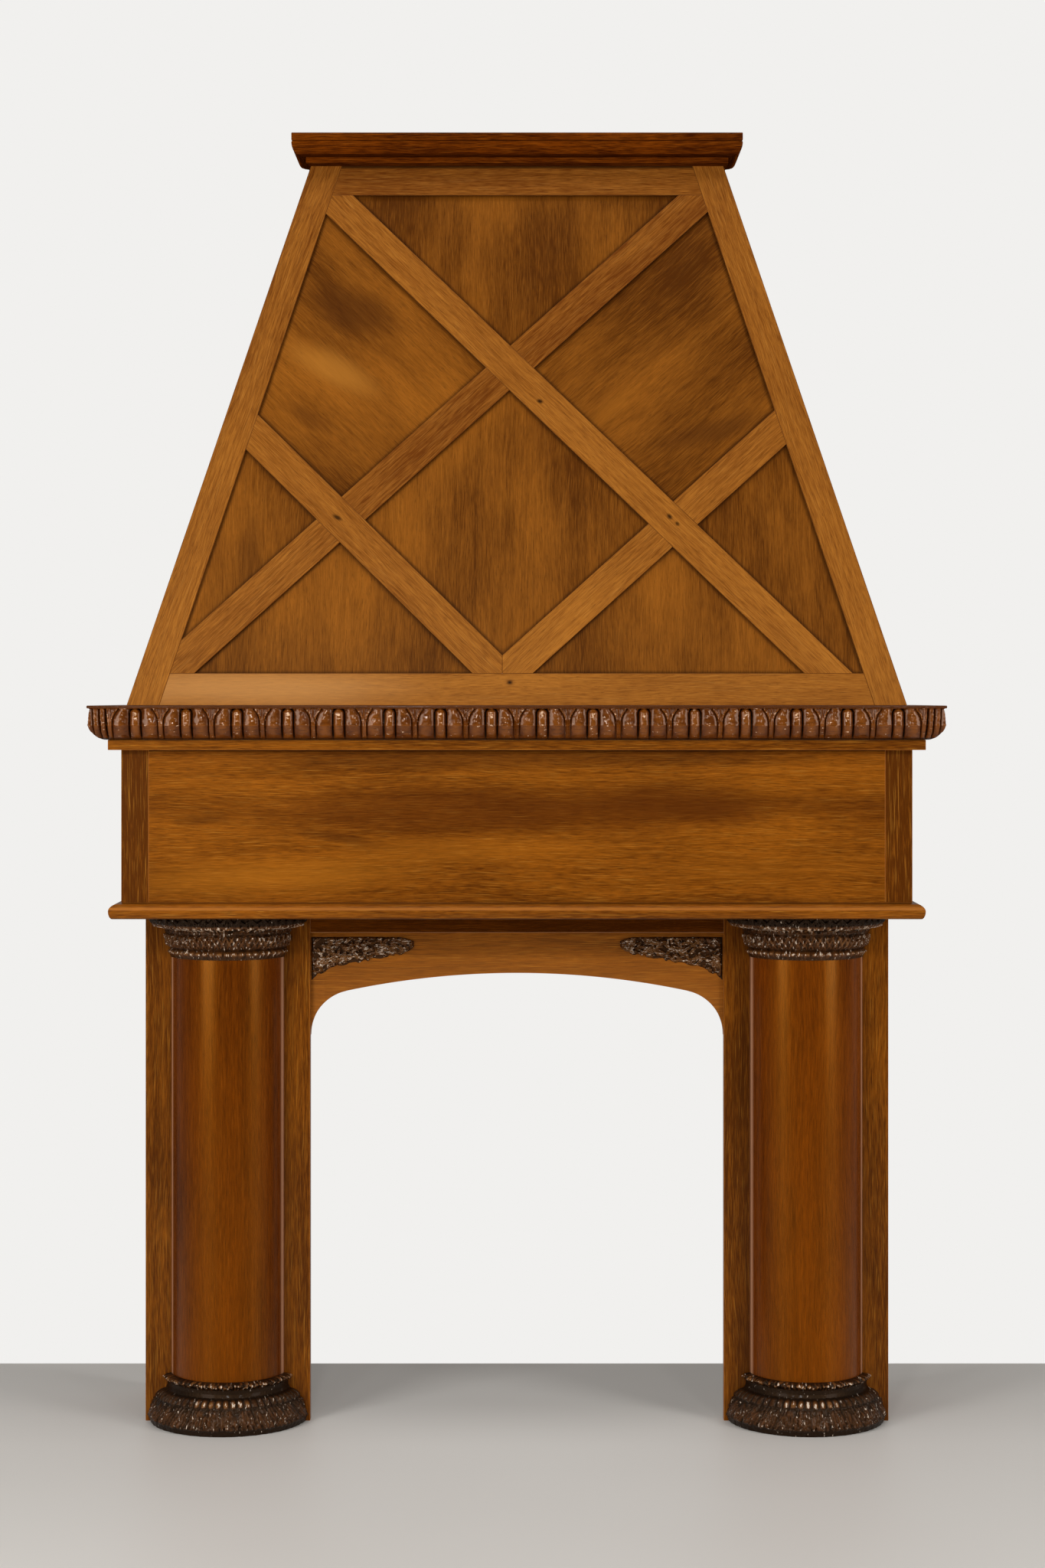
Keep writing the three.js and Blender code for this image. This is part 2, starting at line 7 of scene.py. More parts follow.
import bmesh
import bpy
import numpy as np
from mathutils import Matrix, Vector


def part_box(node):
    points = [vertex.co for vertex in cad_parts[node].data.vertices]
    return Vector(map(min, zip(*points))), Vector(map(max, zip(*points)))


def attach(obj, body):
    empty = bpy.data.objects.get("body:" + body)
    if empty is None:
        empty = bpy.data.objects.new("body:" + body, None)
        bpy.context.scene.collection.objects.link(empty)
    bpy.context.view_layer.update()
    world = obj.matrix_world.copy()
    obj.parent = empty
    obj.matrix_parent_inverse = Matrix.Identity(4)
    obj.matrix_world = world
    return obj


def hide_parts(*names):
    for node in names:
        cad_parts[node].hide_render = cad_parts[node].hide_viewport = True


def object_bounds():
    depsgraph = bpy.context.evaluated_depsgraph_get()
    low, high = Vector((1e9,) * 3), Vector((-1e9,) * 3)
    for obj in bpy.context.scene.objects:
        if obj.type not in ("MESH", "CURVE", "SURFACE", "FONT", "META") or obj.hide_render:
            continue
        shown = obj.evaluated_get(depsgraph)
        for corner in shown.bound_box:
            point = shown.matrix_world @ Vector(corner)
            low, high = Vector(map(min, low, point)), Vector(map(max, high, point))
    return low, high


# A hooded fireplace mantel in stained hardwood, dressed for a studio picture. Metres, +Z up, and the
# front faces -Y. Flat boards are the frame's own with eased edges. Mouldings, columns and carvings are
# worked again as fine meshes on the frame's sizes.
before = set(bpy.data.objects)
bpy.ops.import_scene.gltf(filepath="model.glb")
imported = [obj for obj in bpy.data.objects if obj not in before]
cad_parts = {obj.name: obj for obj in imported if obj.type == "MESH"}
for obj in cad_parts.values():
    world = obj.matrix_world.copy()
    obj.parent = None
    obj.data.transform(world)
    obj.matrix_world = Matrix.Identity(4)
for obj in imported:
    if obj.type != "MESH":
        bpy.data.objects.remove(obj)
CAD_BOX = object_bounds()
LOG = logging.getLogger("mantel")

SIDES = {"right": 1, "left": -1}
RGB = tuple[float, float, float]
Triple = tuple[float, float, float]


def colour(red: int, green: int, blue: int) -> RGB:
    """Turns a screen colour into the linear one that shaders use.

    Args:
        red: Red, 0 to 255.
        green: Green, 0 to 255.
        blue: Blue, 0 to 255.

    Returns:
        The linear colour.
    """
    def linear(level: int) -> float:
        """One channel, from screen to linear."""
        share = level / 255
        return share / 12.92 if share <= 0.04045 else ((share + 0.055) / 1.055) ** 2.4

    return linear(red), linear(green), linear(blue)


class Signal:
    """A number that varies over a surface: an output socket that takes part in arithmetic."""

    def __init__(self, shader: "Shader", socket: bpy.types.NodeSocket) -> None:
        """Keeps the socket and the shader that it belongs to."""
        self.shader = shader
        self.socket = socket

    def _math(self, operation: str, *terms: "Term", clamp: bool = False) -> "Signal":
        """Adds a Math node with this operation on the terms."""
        settings = {"operation": operation, "use_clamp": clamp}
        node = self.shader.node("Math", settings, dict(enumerate(terms)))
        return Signal(self.shader, node.outputs[0])

    def __add__(self, other: "Term") -> "Signal":
        """Sum."""
        return self._math("ADD", self, other)

    __radd__ = __add__

    def __sub__(self, other: "Term") -> "Signal":
        """Difference."""
        return self._math("SUBTRACT", self, other)

    def __rsub__(self, other: "Term") -> "Signal":
        """Difference, with this signal on the right."""
        return self._math("SUBTRACT", other, self)

    def __mul__(self, other: "Term") -> "Signal":
        """Product."""
        return self._math("MULTIPLY", self, other)

    __rmul__ = __mul__

    def least(self, other: "Term") -> "Signal":
        """The smaller of the two."""
        return self._math("MINIMUM", self, other)

    def clamped(self) -> "Signal":
        """The signal kept between 0 and 1."""
        return self._math("ADD", self, 0.0, clamp=True)

    def step(self, low: float, high: float) -> "Signal":
        """A smooth step.

        Args:
            low: Where the step gives 0.
            high: Where it gives 1. It may be less than low.

        Returns:
            The stepped signal.
        """
        settings = {"interpolation_type": "SMOOTHSTEP"}
        inputs = {"Value": self, "From Min": low, "From Max": high}
        if low > high:
            inputs = {"Value": self, "From Min": high, "From Max": low, "To Min": 1.0, "To Max": 0.0}
        return Signal(self.shader, self.shader.node("MapRange", settings, inputs).outputs[0])


Term = Union[Signal, float]


class Shader:
    """A node tree in the making, for a material or for the world."""

    def __init__(self, owner: bpy.types.ID) -> None:
        """Starts the owner's tree, with no nodes."""
        self.owner = owner
        owner.use_nodes = True
        self.tree = owner.node_tree
        self.tree.nodes.clear()

    def node(self, kind: str, settings: dict, inputs: dict) -> bpy.types.Node:
        """Adds one node.

        Args:
            kind: The node's type, without the ShaderNode that starts its name.
            settings: The node's own settings, set first.
            inputs: A value or a link for each socket, by name or number.

        Returns:
            The node.
        """
        made = self.tree.nodes.new("ShaderNode" + kind)
        for name, value in settings.items():
            setattr(made, name, value)
        for key, value in inputs.items():
            if isinstance(value, Signal):
                value = value.socket
            if isinstance(value, bpy.types.NodeSocket):
                self.tree.links.new(value, made.inputs[key])
            else:
                made.inputs[key].default_value = value
        return made

    def number(self, name: str) -> Signal:
        """A number that the mesh carries under this name."""
        return Signal(self, self.node("Attribute", {"attribute_name": name}, {}).outputs["Fac"])

    def grain(self) -> bpy.types.NodeSocket:
        """The place in the wood, which the mesh carries: along, across and through the board."""
        return self.node("Attribute", {"attribute_name": "grain"}, {}).outputs["Vector"]

    def vector(self, operation: str, first: object, second: object) -> bpy.types.NodeSocket:
        """A Vector Math node on two vectors."""
        return self.node("VectorMath", {"operation": operation}, {0: first, 1: second}).outputs[0]

    def noise(self, place: object, detail: float = 2.0, roughness: float = 0.5) -> Signal:
        """Noise with features about one unit across.

        Args:
            place: The vector that it is read at.
            detail: How many finer layers it has.
            roughness: How strong those layers are.

        Returns:
            The noise, about 0.5 on average.
        """
        inputs = {"Vector": place, "Scale": 1.0, "Detail": detail, "Roughness": roughness}
        return Signal(self, self.node("TexNoise", {}, inputs).outputs["Fac"])

    def mix(self, first: object, second: object, share: Term, blend: str = "MIX") -> bpy.types.NodeSocket:
        """Mixes two colours.

        Args:
            first: The colour where the share is 0.
            second: The colour where it is 1.
            share: How much of the second there is.
            blend: Blender's name for the way they mix.

        Returns:
            The mixed colour.
        """
        def filled(value: object) -> object:
            """Gives a plain colour its fourth number."""
            return (*value, 1.0) if isinstance(value, tuple) and len(value) == 3 else value

        settings = {"data_type": "RGBA", "blend_type": blend, "clamp_result": True}
        inputs = {0: share, 6: filled(first), 7: filled(second)}
        return self.node("Mix", settings, inputs).outputs[2]

    def surface(self, fixed: dict, varied: dict) -> bpy.types.Material:
        """Ends the material with its shader.

        Args:
            fixed: Values that are the same all over.
            varied: Links that vary over the surface.

        Returns:
            The finished material.
        """
        shader = self.node("BsdfPrincipled", {}, {**fixed, **varied})
        self.node("OutputMaterial", {}, {"Surface": shader.outputs[0]})
        return self.owner


@dataclass(frozen=True)
class Stain:
    """A soft patch on one board that is darker or lighter than the rest.

    Fields:
        place: The patch's middle, as x and z.
        size: Half its length and half its width.
        tilt: How far its length leans up to the right, in degrees.
        shade: The colour that it brings.
        strength: How much of that colour it brings, 0 to 1.
        ragged: How uneven its edge is.
    """

    place: tuple[float, float]
    size: tuple[float, float]
    tilt: float
    shade: RGB
    strength: float
    ragged: float = 0.7


@dataclass(frozen=True)
class Wood:
    """Stained and polished wood, with its fibres along the "grain" attribute's first axis.

    Fields:
        name: The finish's name.
        slot: A material slot name, which the script doesn't use.
        dark: The colour of the late wood.
        light: The colour of the early wood.
        wear_and_highlight: The colour on eased edges, also used for the painted highlight lines on the shafts
            and the nosing.
        fleck: The colour of the short light streaks.
        flecks: How strong those streaks are.
        fibre: Contrast of the fine fibres.
        band: Contrast of the broad bands.
        cloud: Contrast of the soft clouds in the stain.
        roughness: How matt the varnish is.
        coat: How much clear varnish lies on it.
        gloss: How strongly the wood itself shines.
        spread: Size of the clouds, in metres.
        sheen: The colour of that shine.
    """

    name: str
    slot: str
    dark: RGB
    light: RGB
    wear_and_highlight: RGB
    fleck: RGB
    flecks: float = 0.25
    fibre: float = 0.9
    band: float = 0.8
    cloud: float = 0.35
    roughness: float = 0.38
    coat: float = 0.25
    gloss: float = 0.3
    spread: float = 0.16
    sheen: RGB = (1.0, 0.56, 0.24)

    def material(self, name: str, stains: Sequence[Stain] = ()) -> bpy.types.Material:
        """Makes the material.

        Args:
            name: The material's name.
            stains: Patches that only this board has.

        Returns:
            The material.
        """
        shader = Shader(bpy.data.materials.new(name))
        grain = shader.grain()
        arris = shader.number("arris")

        def streaks(length: float, width: float, detail: float = 2.0) -> Signal:
            """Noise drawn out along the fibres."""
            scale = (1 / length, 1 / width, 1 / width)
            return shader.noise(shader.vector("MULTIPLY", wandering, scale), detail)

        drift = shader.noise(shader.vector("MULTIPLY", grain, (2.2, 9.0, 9.0)), 1.0)
        sideways = shader.node("CombineXYZ", {}, {"Y": (drift - 0.5) * 0.03}).outputs[0]
        wandering = shader.vector("ADD", grain, sideways)
        fine = streaks(0.028, 0.0017, 4.0)
        medium = streaks(0.12, 0.0055, 3.0)
        broad = streaks(0.9, 0.035)
        soft = (0.4 / self.spread, 1 / self.spread, 1 / self.spread)
        cloudy = shader.noise(shader.vector("MULTIPLY", wandering, soft), 3.0, 0.55)
        tone = 0.5 + (fine - 0.5) * self.fibre * 1.5 + (medium - 0.5) * self.fibre * 0.7
        tone = tone + shader.number("lightness") + (broad - 0.5) * self.band
        tone = tone + (cloudy - 0.5) * self.cloud * 2.0
        shade = shader.mix(self.dark, self.light, tone.clamped())
        pores = streaks(0.016, 0.0009, 1.0).step(0.62, 0.74)
        shade = shader.mix(shade, tuple(c * 0.45 for c in self.dark), pores * 0.55)
        short = streaks(0.07, 0.0016, 1.0).step(0.58, 0.74)
        shade = shader.mix(shade, self.fleck, short * self.flecks)
        for stain in stains:
            shade = shader.mix(shade, stain.shade, self.patch(shader, stain, cloudy) * stain.strength)
        # Painted shade: darker within about 9 mm of a frame's edge or a moulding's quirk, where the rim value
        # is small.
        painted_shade = shader.number("rim").step(0.009, 0.0)
        shade = shader.mix(shade, tuple(c * 0.22 for c in self.dark), painted_shade * 0.6)
        # Eased edges take this colour as wear; on the shafts and the nosing the same mark paints highlight
        # lines.
        shade = shader.mix(shade, self.wear_and_highlight, (arris * 0.25).clamped())
        height = fine * 0.6 + medium * 0.25 - pores * 0.5
        bump = {"Strength": 0.1, "Distance": 0.0004, "Height": height}
        varied = {
            "Base Color": shade,
            "Roughness": self.roughness + (medium - 0.5) * 0.15 + pores * 0.1 + arris.least(1.0) * 0.2,
            "Coat Weight": ((1.0 - arris) * self.coat).clamped(),
            "Normal": shader.node("Bump", {}, bump).outputs[0],
        }
        fixed = {
            "Coat Roughness": 0.16, "Specular IOR Level": self.gloss, "Specular Tint": (*self.sheen, 1.0),
        }
        return shader.surface(fixed, varied)

    def patch(self, shader: Shader, stain: Stain, cloudy: Signal) -> Signal:
        """How much of a stain there is at each place."""
        place = shader.node("TexCoord", {}, {}).outputs["Object"]
        settings = {"vector_type": "TEXTURE"}
        inputs = {
            "Vector": shader.vector("MULTIPLY", place, (1.0, 0.0, 1.0)),
            "Location": (stain.place[0], 0.0, stain.place[1]),
            "Rotation": (0.0, -math.radians(stain.tilt), 0.0),
            "Scale": (stain.size[0], 1.0, stain.size[1]),
        }
        local = shader.node("Mapping", settings, inputs).outputs[0]
        length = shader.node("VectorMath", {"operation": "LENGTH"}, {0: local}).outputs["Value"]
        return (Signal(shader, length) + (cloudy - 0.5) * 2.0 * stain.ragged).step(1.1, 0.2)


@dataclass(frozen=True)
class Carving:
    """Carved wood under thick dark varnish, lighter on its ridges, partly as wear and partly as painted
    highlight.

    The mesh's "relief" attribute is 0 in the cuts, 1 on the ridges, more where highlights and glints are
    painted and less where shade is painted.

    Fields:
        name: The finish's name.
        slot: A material slot name, which the script doesn't use.
        hollow: The colour in the cuts.
        body: The colour of most of it.
        ridge: The colour on the high places.
        glint: The colour of the painted glints and highlights on them.
        glint_amount: How many painted glints there are, 0 to 1.
        roughness: How matt the varnish is.
        chipped: How strong the small facets of the chisel are.
        varnish: How much clear varnish lies on the ridges.
    """

    name: str
    slot: str
    hollow: RGB
    body: RGB
    ridge: RGB
    glint: RGB
    glint_amount: float
    roughness: float
    chipped: float
    varnish: float

    def material(self, name: str) -> bpy.types.Material:
        """Makes the material, under this name."""
        shader = Shader(bpy.data.materials.new(name))
        grain = shader.grain()
        relief = shader.number("relief")
        fibres = shader.noise(shader.vector("MULTIPLY", grain, (30.0, 420.0, 420.0)), 2.0)
        patches = shader.noise(shader.vector("MULTIPLY", grain, (28.0, 28.0, 28.0)), 3.0)
        chips = shader.noise(shader.vector("MULTIPLY", grain, (110.0, 250.0, 250.0)), 2.0, 0.6)
        shade = shader.mix(self.hollow, self.body, relief.step(0.1, 0.6))
        ridge = (relief + (patches - 0.5) * 0.9).step(0.6, 1.1)
        shade = shader.mix(shade, self.ridge, ridge * 0.8)
        shade = shader.mix(shade, self.hollow, fibres.step(0.52, 0.7) * 0.45)
        # Painted glints: pale specks on the ridges, and painted highlights where the relief value passes 1.
        wear_and_highlight = (chips + (relief - 1.0) * 0.14 + (self.glint_amount - 1.0) * 0.13).step(0.52, 0.6)
        raised = relief.least(1.0)
        shade = shader.mix(shade, self.glint, wear_and_highlight * 0.9)
        bump = {"Strength": self.chipped, "Distance": 0.002, "Height": chips + fibres * 0.15}
        varied = {
            "Base Color": shade,
            "Roughness": self.roughness + (patches - 0.5) * 0.15 + (1.0 - raised) * 0.3,
            "Coat Weight": 0.04 + raised * self.varnish,
            "Normal": shader.node("Bump", {}, bump).outputs[0],
        }
        fixed = {"Coat Roughness": 0.1, "Specular IOR Level": 0.35, "Specular Tint": (1.0, 0.55, 0.28, 1.0)}
        return shader.surface(fixed, varied)


class Finish(Enum):
    """The mantel's finishes."""

    HONEY = Wood(
        "honey", "honey_wood", colour(104, 52, 11), colour(176, 110, 38), colour(108, 58, 16),
        colour(206, 146, 68), flecks=0.18, fibre=1.0, band=0.55, cloud=0.35, roughness=0.36, coat=0.05,
        gloss=0.22,
    )
    PANEL = Wood(
        "panel", "panel_wood", colour(80, 39, 5), colour(152, 89, 23), colour(110, 60, 16),
        colour(178, 116, 42), flecks=0.14, fibre=0.8, band=0.4, cloud=1.1, roughness=0.38, coat=0.04,
        gloss=0.2, spread=0.2,
    )
    AMBER = Wood(
        "amber", "amber_wood", colour(88, 42, 4), colour(160, 90, 16), colour(184, 112, 46),
        colour(200, 134, 46), flecks=0.42, fibre=1.25, band=0.9, cloud=0.5, roughness=0.34, coat=0.06,
        gloss=0.25,
    )
    RED = Wood(
        "red", "red_wood", colour(66, 25, 3), colour(130, 62, 6), colour(190, 140, 108),
        colour(160, 88, 24), flecks=0.25, fibre=0.9, band=0.6, cloud=0.4, roughness=0.27, coat=0.02,
        gloss=0.8, sheen=(1.0, 0.38, 0.03),
    )
    CROWN = Wood(
        "crown", "red_wood", colour(60, 22, 3), colour(124, 58, 6), colour(160, 100, 60),
        colour(160, 88, 24), flecks=0.4, fibre=1.5, band=0.9, cloud=0.5, roughness=0.42, coat=0.0,
        gloss=0.0, sheen=(1.0, 0.45, 0.1),
    )
    EGG = Carving(
        "egg_carving", "red_wood", colour(12, 4, 1), colour(86, 39, 5), colour(134, 73, 18),
        colour(240, 200, 164), glint_amount=0.0, roughness=0.17, chipped=0.07, varnish=0.4,
    )
    DARK = Carving(
        "dark_carving", "dark_carving", colour(16, 8, 4), colour(84, 47, 18), colour(132, 88, 46),
        colour(232, 212, 190), glint_amount=0.8, roughness=0.24, chipped=0.5, varnish=0.3,
    )


class Run(Enum):
    """Which way a board's fibres run."""

    LONGEST = "along its longest edge"
    ACROSS = "from side to side"
    UPRIGHT = "up and down"
    DEEP = "from front to back"


@dataclass
class Kit:
    """What the sub-assemblies share: seeded chance and the making of pieces."""

    seed: int = 7
    chance: np.random.Generator = field(init=False)
    made: dict[str, bpy.types.Material] = field(default_factory=dict)

    def __post_init__(self) -> None:
        """Starts the chance."""
        self.chance = np.random.default_rng(self.seed)

    def add(self, node: str, mesh: bpy.types.Mesh, finish: Finish, stains: Sequence[Stain] = (),
            lightness: float = 0.0) -> bpy.types.Object:
        """Puts a finished mesh in the place of a CAD node.

        Args:
            node: The CAD node.
            mesh: The piece's mesh, in the frame's place.
            finish: Its finish.
            stains: Patches of its own.
            lightness: How much lighter it is than most boards, where the mesh doesn't say so.

        Returns:
            The piece.
        """
        name = node + "_wood"
        made = bpy.data.objects.new(name, mesh)
        bpy.context.scene.collection.objects.link(made)
        wood = finish.value
        if isinstance(wood, Wood):
            for attribute, usual in (("rim", 1.0), ("lightness", lightness)):
                if attribute not in mesh.attributes:
                    set_number(mesh, attribute, np.full(len(mesh.vertices), usual))
        mesh.materials.clear()
        mesh.materials.append(wood.material(name + "_finish", stains) if stains else self.shared(wood))
        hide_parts(node)
        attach(made, "root")
        LOG.info("%s: %d faces", name, len(mesh.polygons))
        return made

    def shared(self, wood: Union[Wood, Carving]) -> bpy.types.Material:
        """The finish's material, made the first time that it is asked for."""
        if wood.name not in self.made:
            self.made[wood.name] = wood.material(wood.name + "_finish")
        return self.made[wood.name]

    def offset(self) -> np.ndarray:
        """A place in the tree of its own for each board."""
        return self.chance.uniform(0.0, 40.0, 3)


KIT = Kit()


def points_of(mesh: bpy.types.Mesh) -> np.ndarray:
    """The mesh's vertices as rows of numbers."""
    flat = np.empty(len(mesh.vertices) * 3, np.float32)
    mesh.vertices.foreach_get("co", flat)
    return flat.reshape(-1, 3).astype(float)


def set_grain(mesh: bpy.types.Mesh, along: Sequence[float], face: Sequence[float]) -> None:
    """Writes the "grain" attribute: each vertex's place along, across and through the board.

    Args:
        mesh: The board's mesh.
        along: The way the fibres run.
        face: The way the board's face looks.
    """
    first = np.array(along, float)
    first /= np.linalg.norm(first)
    second = np.cross(np.array(face, float), first)
    second /= np.linalg.norm(second)
    third = np.cross(first, second)
    place = points_of(mesh) @ np.stack([first, second, third]).T + KIT.offset()
    attribute = mesh.attributes.new("grain", "FLOAT_VECTOR", "POINT")
    attribute.data.foreach_set("vector", place.astype(np.float32).ravel())


def set_number(mesh: bpy.types.Mesh, name: str, values: np.ndarray) -> None:
    """Writes a number for each vertex."""
    attribute = mesh.attributes.new(name, "FLOAT", "POINT")
    attribute.data.foreach_set("value", np.asarray(values, np.float32).ravel())


def grid_mesh(name: str, rows: np.ndarray, crease: float = 30.0) -> bpy.types.Mesh:
    """A closed skin over rows of points.

    Args:
        name: The mesh's name.
        rows: Points as rows, columns and coordinates. Each row is one section, which closes on itself.
        crease: The angle in degrees from which an edge is shown sharp.

    Returns:
        The mesh, with its points in the order of the rows.
    """
    count, width = rows.shape[:2]
    index = np.arange(count * width).reshape(count, width)
    after = np.roll(index, -1, axis=1)
    quads = np.stack([index[:-1], after[:-1], after[1:], index[1:]], axis=-1).reshape(-1, 4)
    faces = [*quads.tolist(), index[0][::-1].tolist(), index[-1].tolist()]
    mesh = bpy.data.meshes.new(name)
    mesh.from_pydata(rows.reshape(-1, 3).tolist(), [], faces)
    mesh.update()
    mesh.shade_smooth()
    mesh.set_sharp_from_angle(angle=math.radians(crease))
    return mesh


@dataclass
class Board:
    """A flat board: the frame's own, with eased edges and fibres of its own.

    Fields:
        node: The CAD node.
        finish: Its finish.
        run: Which way its fibres run.
        tilt: The fibres' angle in the hood's slope, in degrees from level, instead of run.
        ease: How far its edges are eased.
        swell: How far its sides swell to meet its neighbours, so that no light shows between them.
        recessed: Whether it lies in a frame, with painted shade where it meets it.
        lightness: How much lighter it is than most boards, about -0.4 to 0.4: its stain's tone, and on the
            arch batten painted shade.
        fade: How much lighter it gets for each metre down from a height of 2 m.
        stains: Patches of its own.
    """

    node: str
    finish: Finish
    run: Run = Run.LONGEST
    tilt: float | None = None
    ease: float = 0.0009
    swell: float = 0.00022
    recessed: bool = False
    lightness: float = 0.0
    fade: float = 0.0
    stains: Sequence[Stain] = ()

    def build(self) -> bpy.types.Object:
        """Builds and dresses the board."""
        shape = bmesh.new()
        shape.from_mesh(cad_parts[self.node].data)
        shape.faces.layers.int.new("front")
        shape.faces.layers.float.new("arris")
        shape.verts.layers.float.new("rim")
        bmesh.ops.remove_doubles(shape, verts=shape.verts, dist=1e-5)
        flat = math.radians(0.5)
        bmesh.ops.dissolve_limit(shape, angle_limit=flat, verts=shape.verts, edges=shape.edges)
        face = max(shape.faces, key=lambda f: f.calc_area())
        fronts = [f for f in shape.faces if abs(f.normal.dot(face.normal)) > 0.999]
        front = max(fronts, key=self.outward)
        looks = front.normal.copy()
        along = self.direction(shape, looks)
        self.widen(shape, looks)
        if self.recessed:
            self.line_rim(shape, front)
        else:
            self.ease_edges(shape)
        mesh = bpy.data.meshes.new(self.node)
        shape.to_mesh(mesh)
        shape.free()
        if not self.recessed:
            mesh.attributes["rim"].data.foreach_set("value", np.ones(len(mesh.vertices), np.float32))
        set_number(mesh, "lightness", self.lightness + self.fade * (2.0 - points_of(mesh)[:, 2]))
        set_grain(mesh, along, looks)
        return KIT.add(self.node, mesh, self.finish, self.stains)

    def outward(self, face: bmesh.types.BMFace) -> float:
        """How far a face lies to the mantel's front, or, on a board that looks sideways, from its middle."""
        middle = face.calc_center_median()
        return -middle.y if abs(face.normal.y) > 0.5 else middle.length

    def direction(self, shape: bmesh.types.BMesh, looks: Vector) -> Vector:
        """The way the fibres run.

        Args:
            shape: The board before its edges are eased.
            looks: The way its face looks.

        Returns:
            A vector in the plane of the face.
        """
        fixed = {Run.ACROSS: (1, 0, 0), Run.UPRIGHT: (0, 0, 1), Run.DEEP: (0, 1, 0)}
        if self.tilt is not None:
            level = Vector((1, 0, 0))
            up = Vector((0, 0, 1)) - looks * looks.z
            turn = math.radians(self.tilt)
            return level * math.cos(turn) + up.normalized() * math.sin(turn)
        if self.run in fixed:
            way = Vector(fixed[self.run])
            return (way - looks * looks.dot(way)).normalized()
        edge = max(shape.edges, key=lambda e: e.calc_length())
        return (edge.verts[1].co - edge.verts[0].co).normalized()

    def widen(self, shape: bmesh.types.BMesh, looks: Vector) -> None:
        """Moves the board's sides outwards by its swell, inside the frame's box.

        Args:
            shape: The board.
            looks: The way its face looks.
        """
        low, high = CAD_BOX
        shifts = []
        for vert in shape.verts:
            sides = [f.normal for f in vert.link_faces if abs(f.normal.dot(looks)) < 0.5]
            shift = Vector((0, 0, 0))
            if sides:
                rows = np.array([tuple(normal) for normal in sides])
                shift = Vector(np.linalg.lstsq(rows, np.full(len(sides), self.swell), rcond=None)[0])
                shift = shift * min(1.0, 4 * self.swell / shift.length)
            shifts.append(shift)
        for vert, shift in zip(shape.verts, shifts):
            moved = vert.co + shift
            vert.co = [min(max(moved[i], low[i]), high[i]) for i in range(3)]
        shape.normal_update()

    def ease_edges(self, shape: bmesh.types.BMesh) -> None:
        """Rounds the sharp edges a little and marks them as worn."""
        layer = shape.faces.layers.float["arris"]
        sharp = [e for e in shape.edges if e.is_manifold and e.calc_face_angle() > math.radians(20)]
        made = bmesh.ops.bevel(
            shape, geom=sharp, offset=self.ease, offset_type="OFFSET", segments=2, profile=0.5,
            affect="EDGES", clamp_overlap=True,
        )
        for face in made["faces"]:
            face[layer] = 2.4
            face.smooth = True

    def line_rim(self, shape: bmesh.types.BMesh, front: bmesh.types.BMFace) -> None:
        """Cuts the face along its border and writes each point's distance from the border.

        Args:
            shape: The board.
            front: Its face, which has no inward corner.
        """
        chosen = shape.faces.layers.int["front"]
        reach = shape.verts.layers.float["rim"]
        front[chosen] = 1
        borders = []
        for loop in front.loops:
            way = (loop.link_loop_next.vert.co - loop.vert.co).normalized()
            borders.append((loop.vert.co.copy(), front.normal.cross(way).normalized()))
        for away in (0.002, 0.006, 0.014, 0.03):
            for place, inward in borders:
                faces = [f for f in shape.faces if f[chosen]]
                edges = list({e for f in faces for e in f.edges})
                verts = list({v for f in faces for v in f.verts})
                bmesh.ops.bisect_plane(
                    shape, geom=verts + edges + faces, dist=1e-7, plane_co=place + inward * away,
                    plane_no=inward,
                )
        for face in shape.faces:
            if face[chosen]:
                for vert in face.verts:
                    vert[reach] = min((vert.co - place).dot(inward) for place, inward in borders)


def smooth_step(value: np.ndarray, low: float, high: float) -> np.ndarray:
    """A smooth step from 0 at low to 1 at high."""
    share = np.clip((value - low) / (high - low), 0.0, 1.0)
    return share * share * (3 - 2 * share)


def ridge(distance: np.ndarray, width: float) -> np.ndarray:
    """A soft ridge, 1 at no distance and about 0 beyond twice the width."""
    return np.exp(-((distance / width) ** 2))


class Bumps:
    """Smooth random unevenness for carved faces."""

    def __init__(self, seed: int, cell: float) -> None:
        """Makes a lattice of random numbers with cells of this size."""
        self.cell = cell
        self.side = 64
        self.values = np.random.default_rng(seed).uniform(-1, 1, (self.side, self.side))

    def at(self, first: np.ndarray, second: np.ndarray) -> np.ndarray:
        """The unevenness, from -1 to 1, at places given in metres."""
        x, y = first / self.cell, second / self.cell
        left, low = np.floor(x), np.floor(y)
        u, v = smooth_step(x - left, 0, 1), smooth_step(y - low, 0, 1)
        i, j = left.astype(int) % self.side, low.astype(int) % self.side
        k, m = (i + 1) % self.side, (j + 1) % self.side
        lower = self.values[i, j] * (1 - u) + self.values[k, j] * u
        upper = self.values[i, m] * (1 - u) + self.values[k, m] * u
        return lower * (1 - v) + upper * v


@dataclass(frozen=True)
class Leaflet:
    """One lobe of carved foliage, lying on a face that is measured in metres.

    Fields:
        place: Its root on the face.
        turn: The way it points, in radians.
        length: From root to tip.
        width: Across its widest place.
        height: How far it stands out.
    """

    place: tuple[float, float]
    turn: float
    length: float
    width: float
    height: float

    def raise_on(self, first: np.ndarray, second: np.ndarray, relief: np.ndarray) -> None:
        """Lifts the relief where the lobe lies.

        Args:
            first: Places on the face, the first way.
            second: Places on the face, the second way.
            relief: How far the face stands out, changed in place.
        """
        x, y = first - self.place[0], second - self.place[1]
        along = (x * math.cos(self.turn) + y * math.sin(self.turn)) / self.length
        across = (y * math.cos(self.turn) - x * math.sin(self.turn)) / (self.width / 2)
        outline = np.sqrt(np.clip(np.sin(np.pi * np.clip(along, 0, 1) ** 0.8), 0, 1)) + 1e-6
        inside = np.clip(1 - (across / outline) ** 2, 0, 1)
        inside[(along < 0) | (along > 1)] = 0
        rise = np.sqrt(inside) * (0.55 + 0.45 * np.clip(along, 0, 1))
        vein = 1 - 0.5 * ridge(across, 0.22) * (along > 0.08)
        np.maximum(relief, self.height * rise * vein, out=relief)


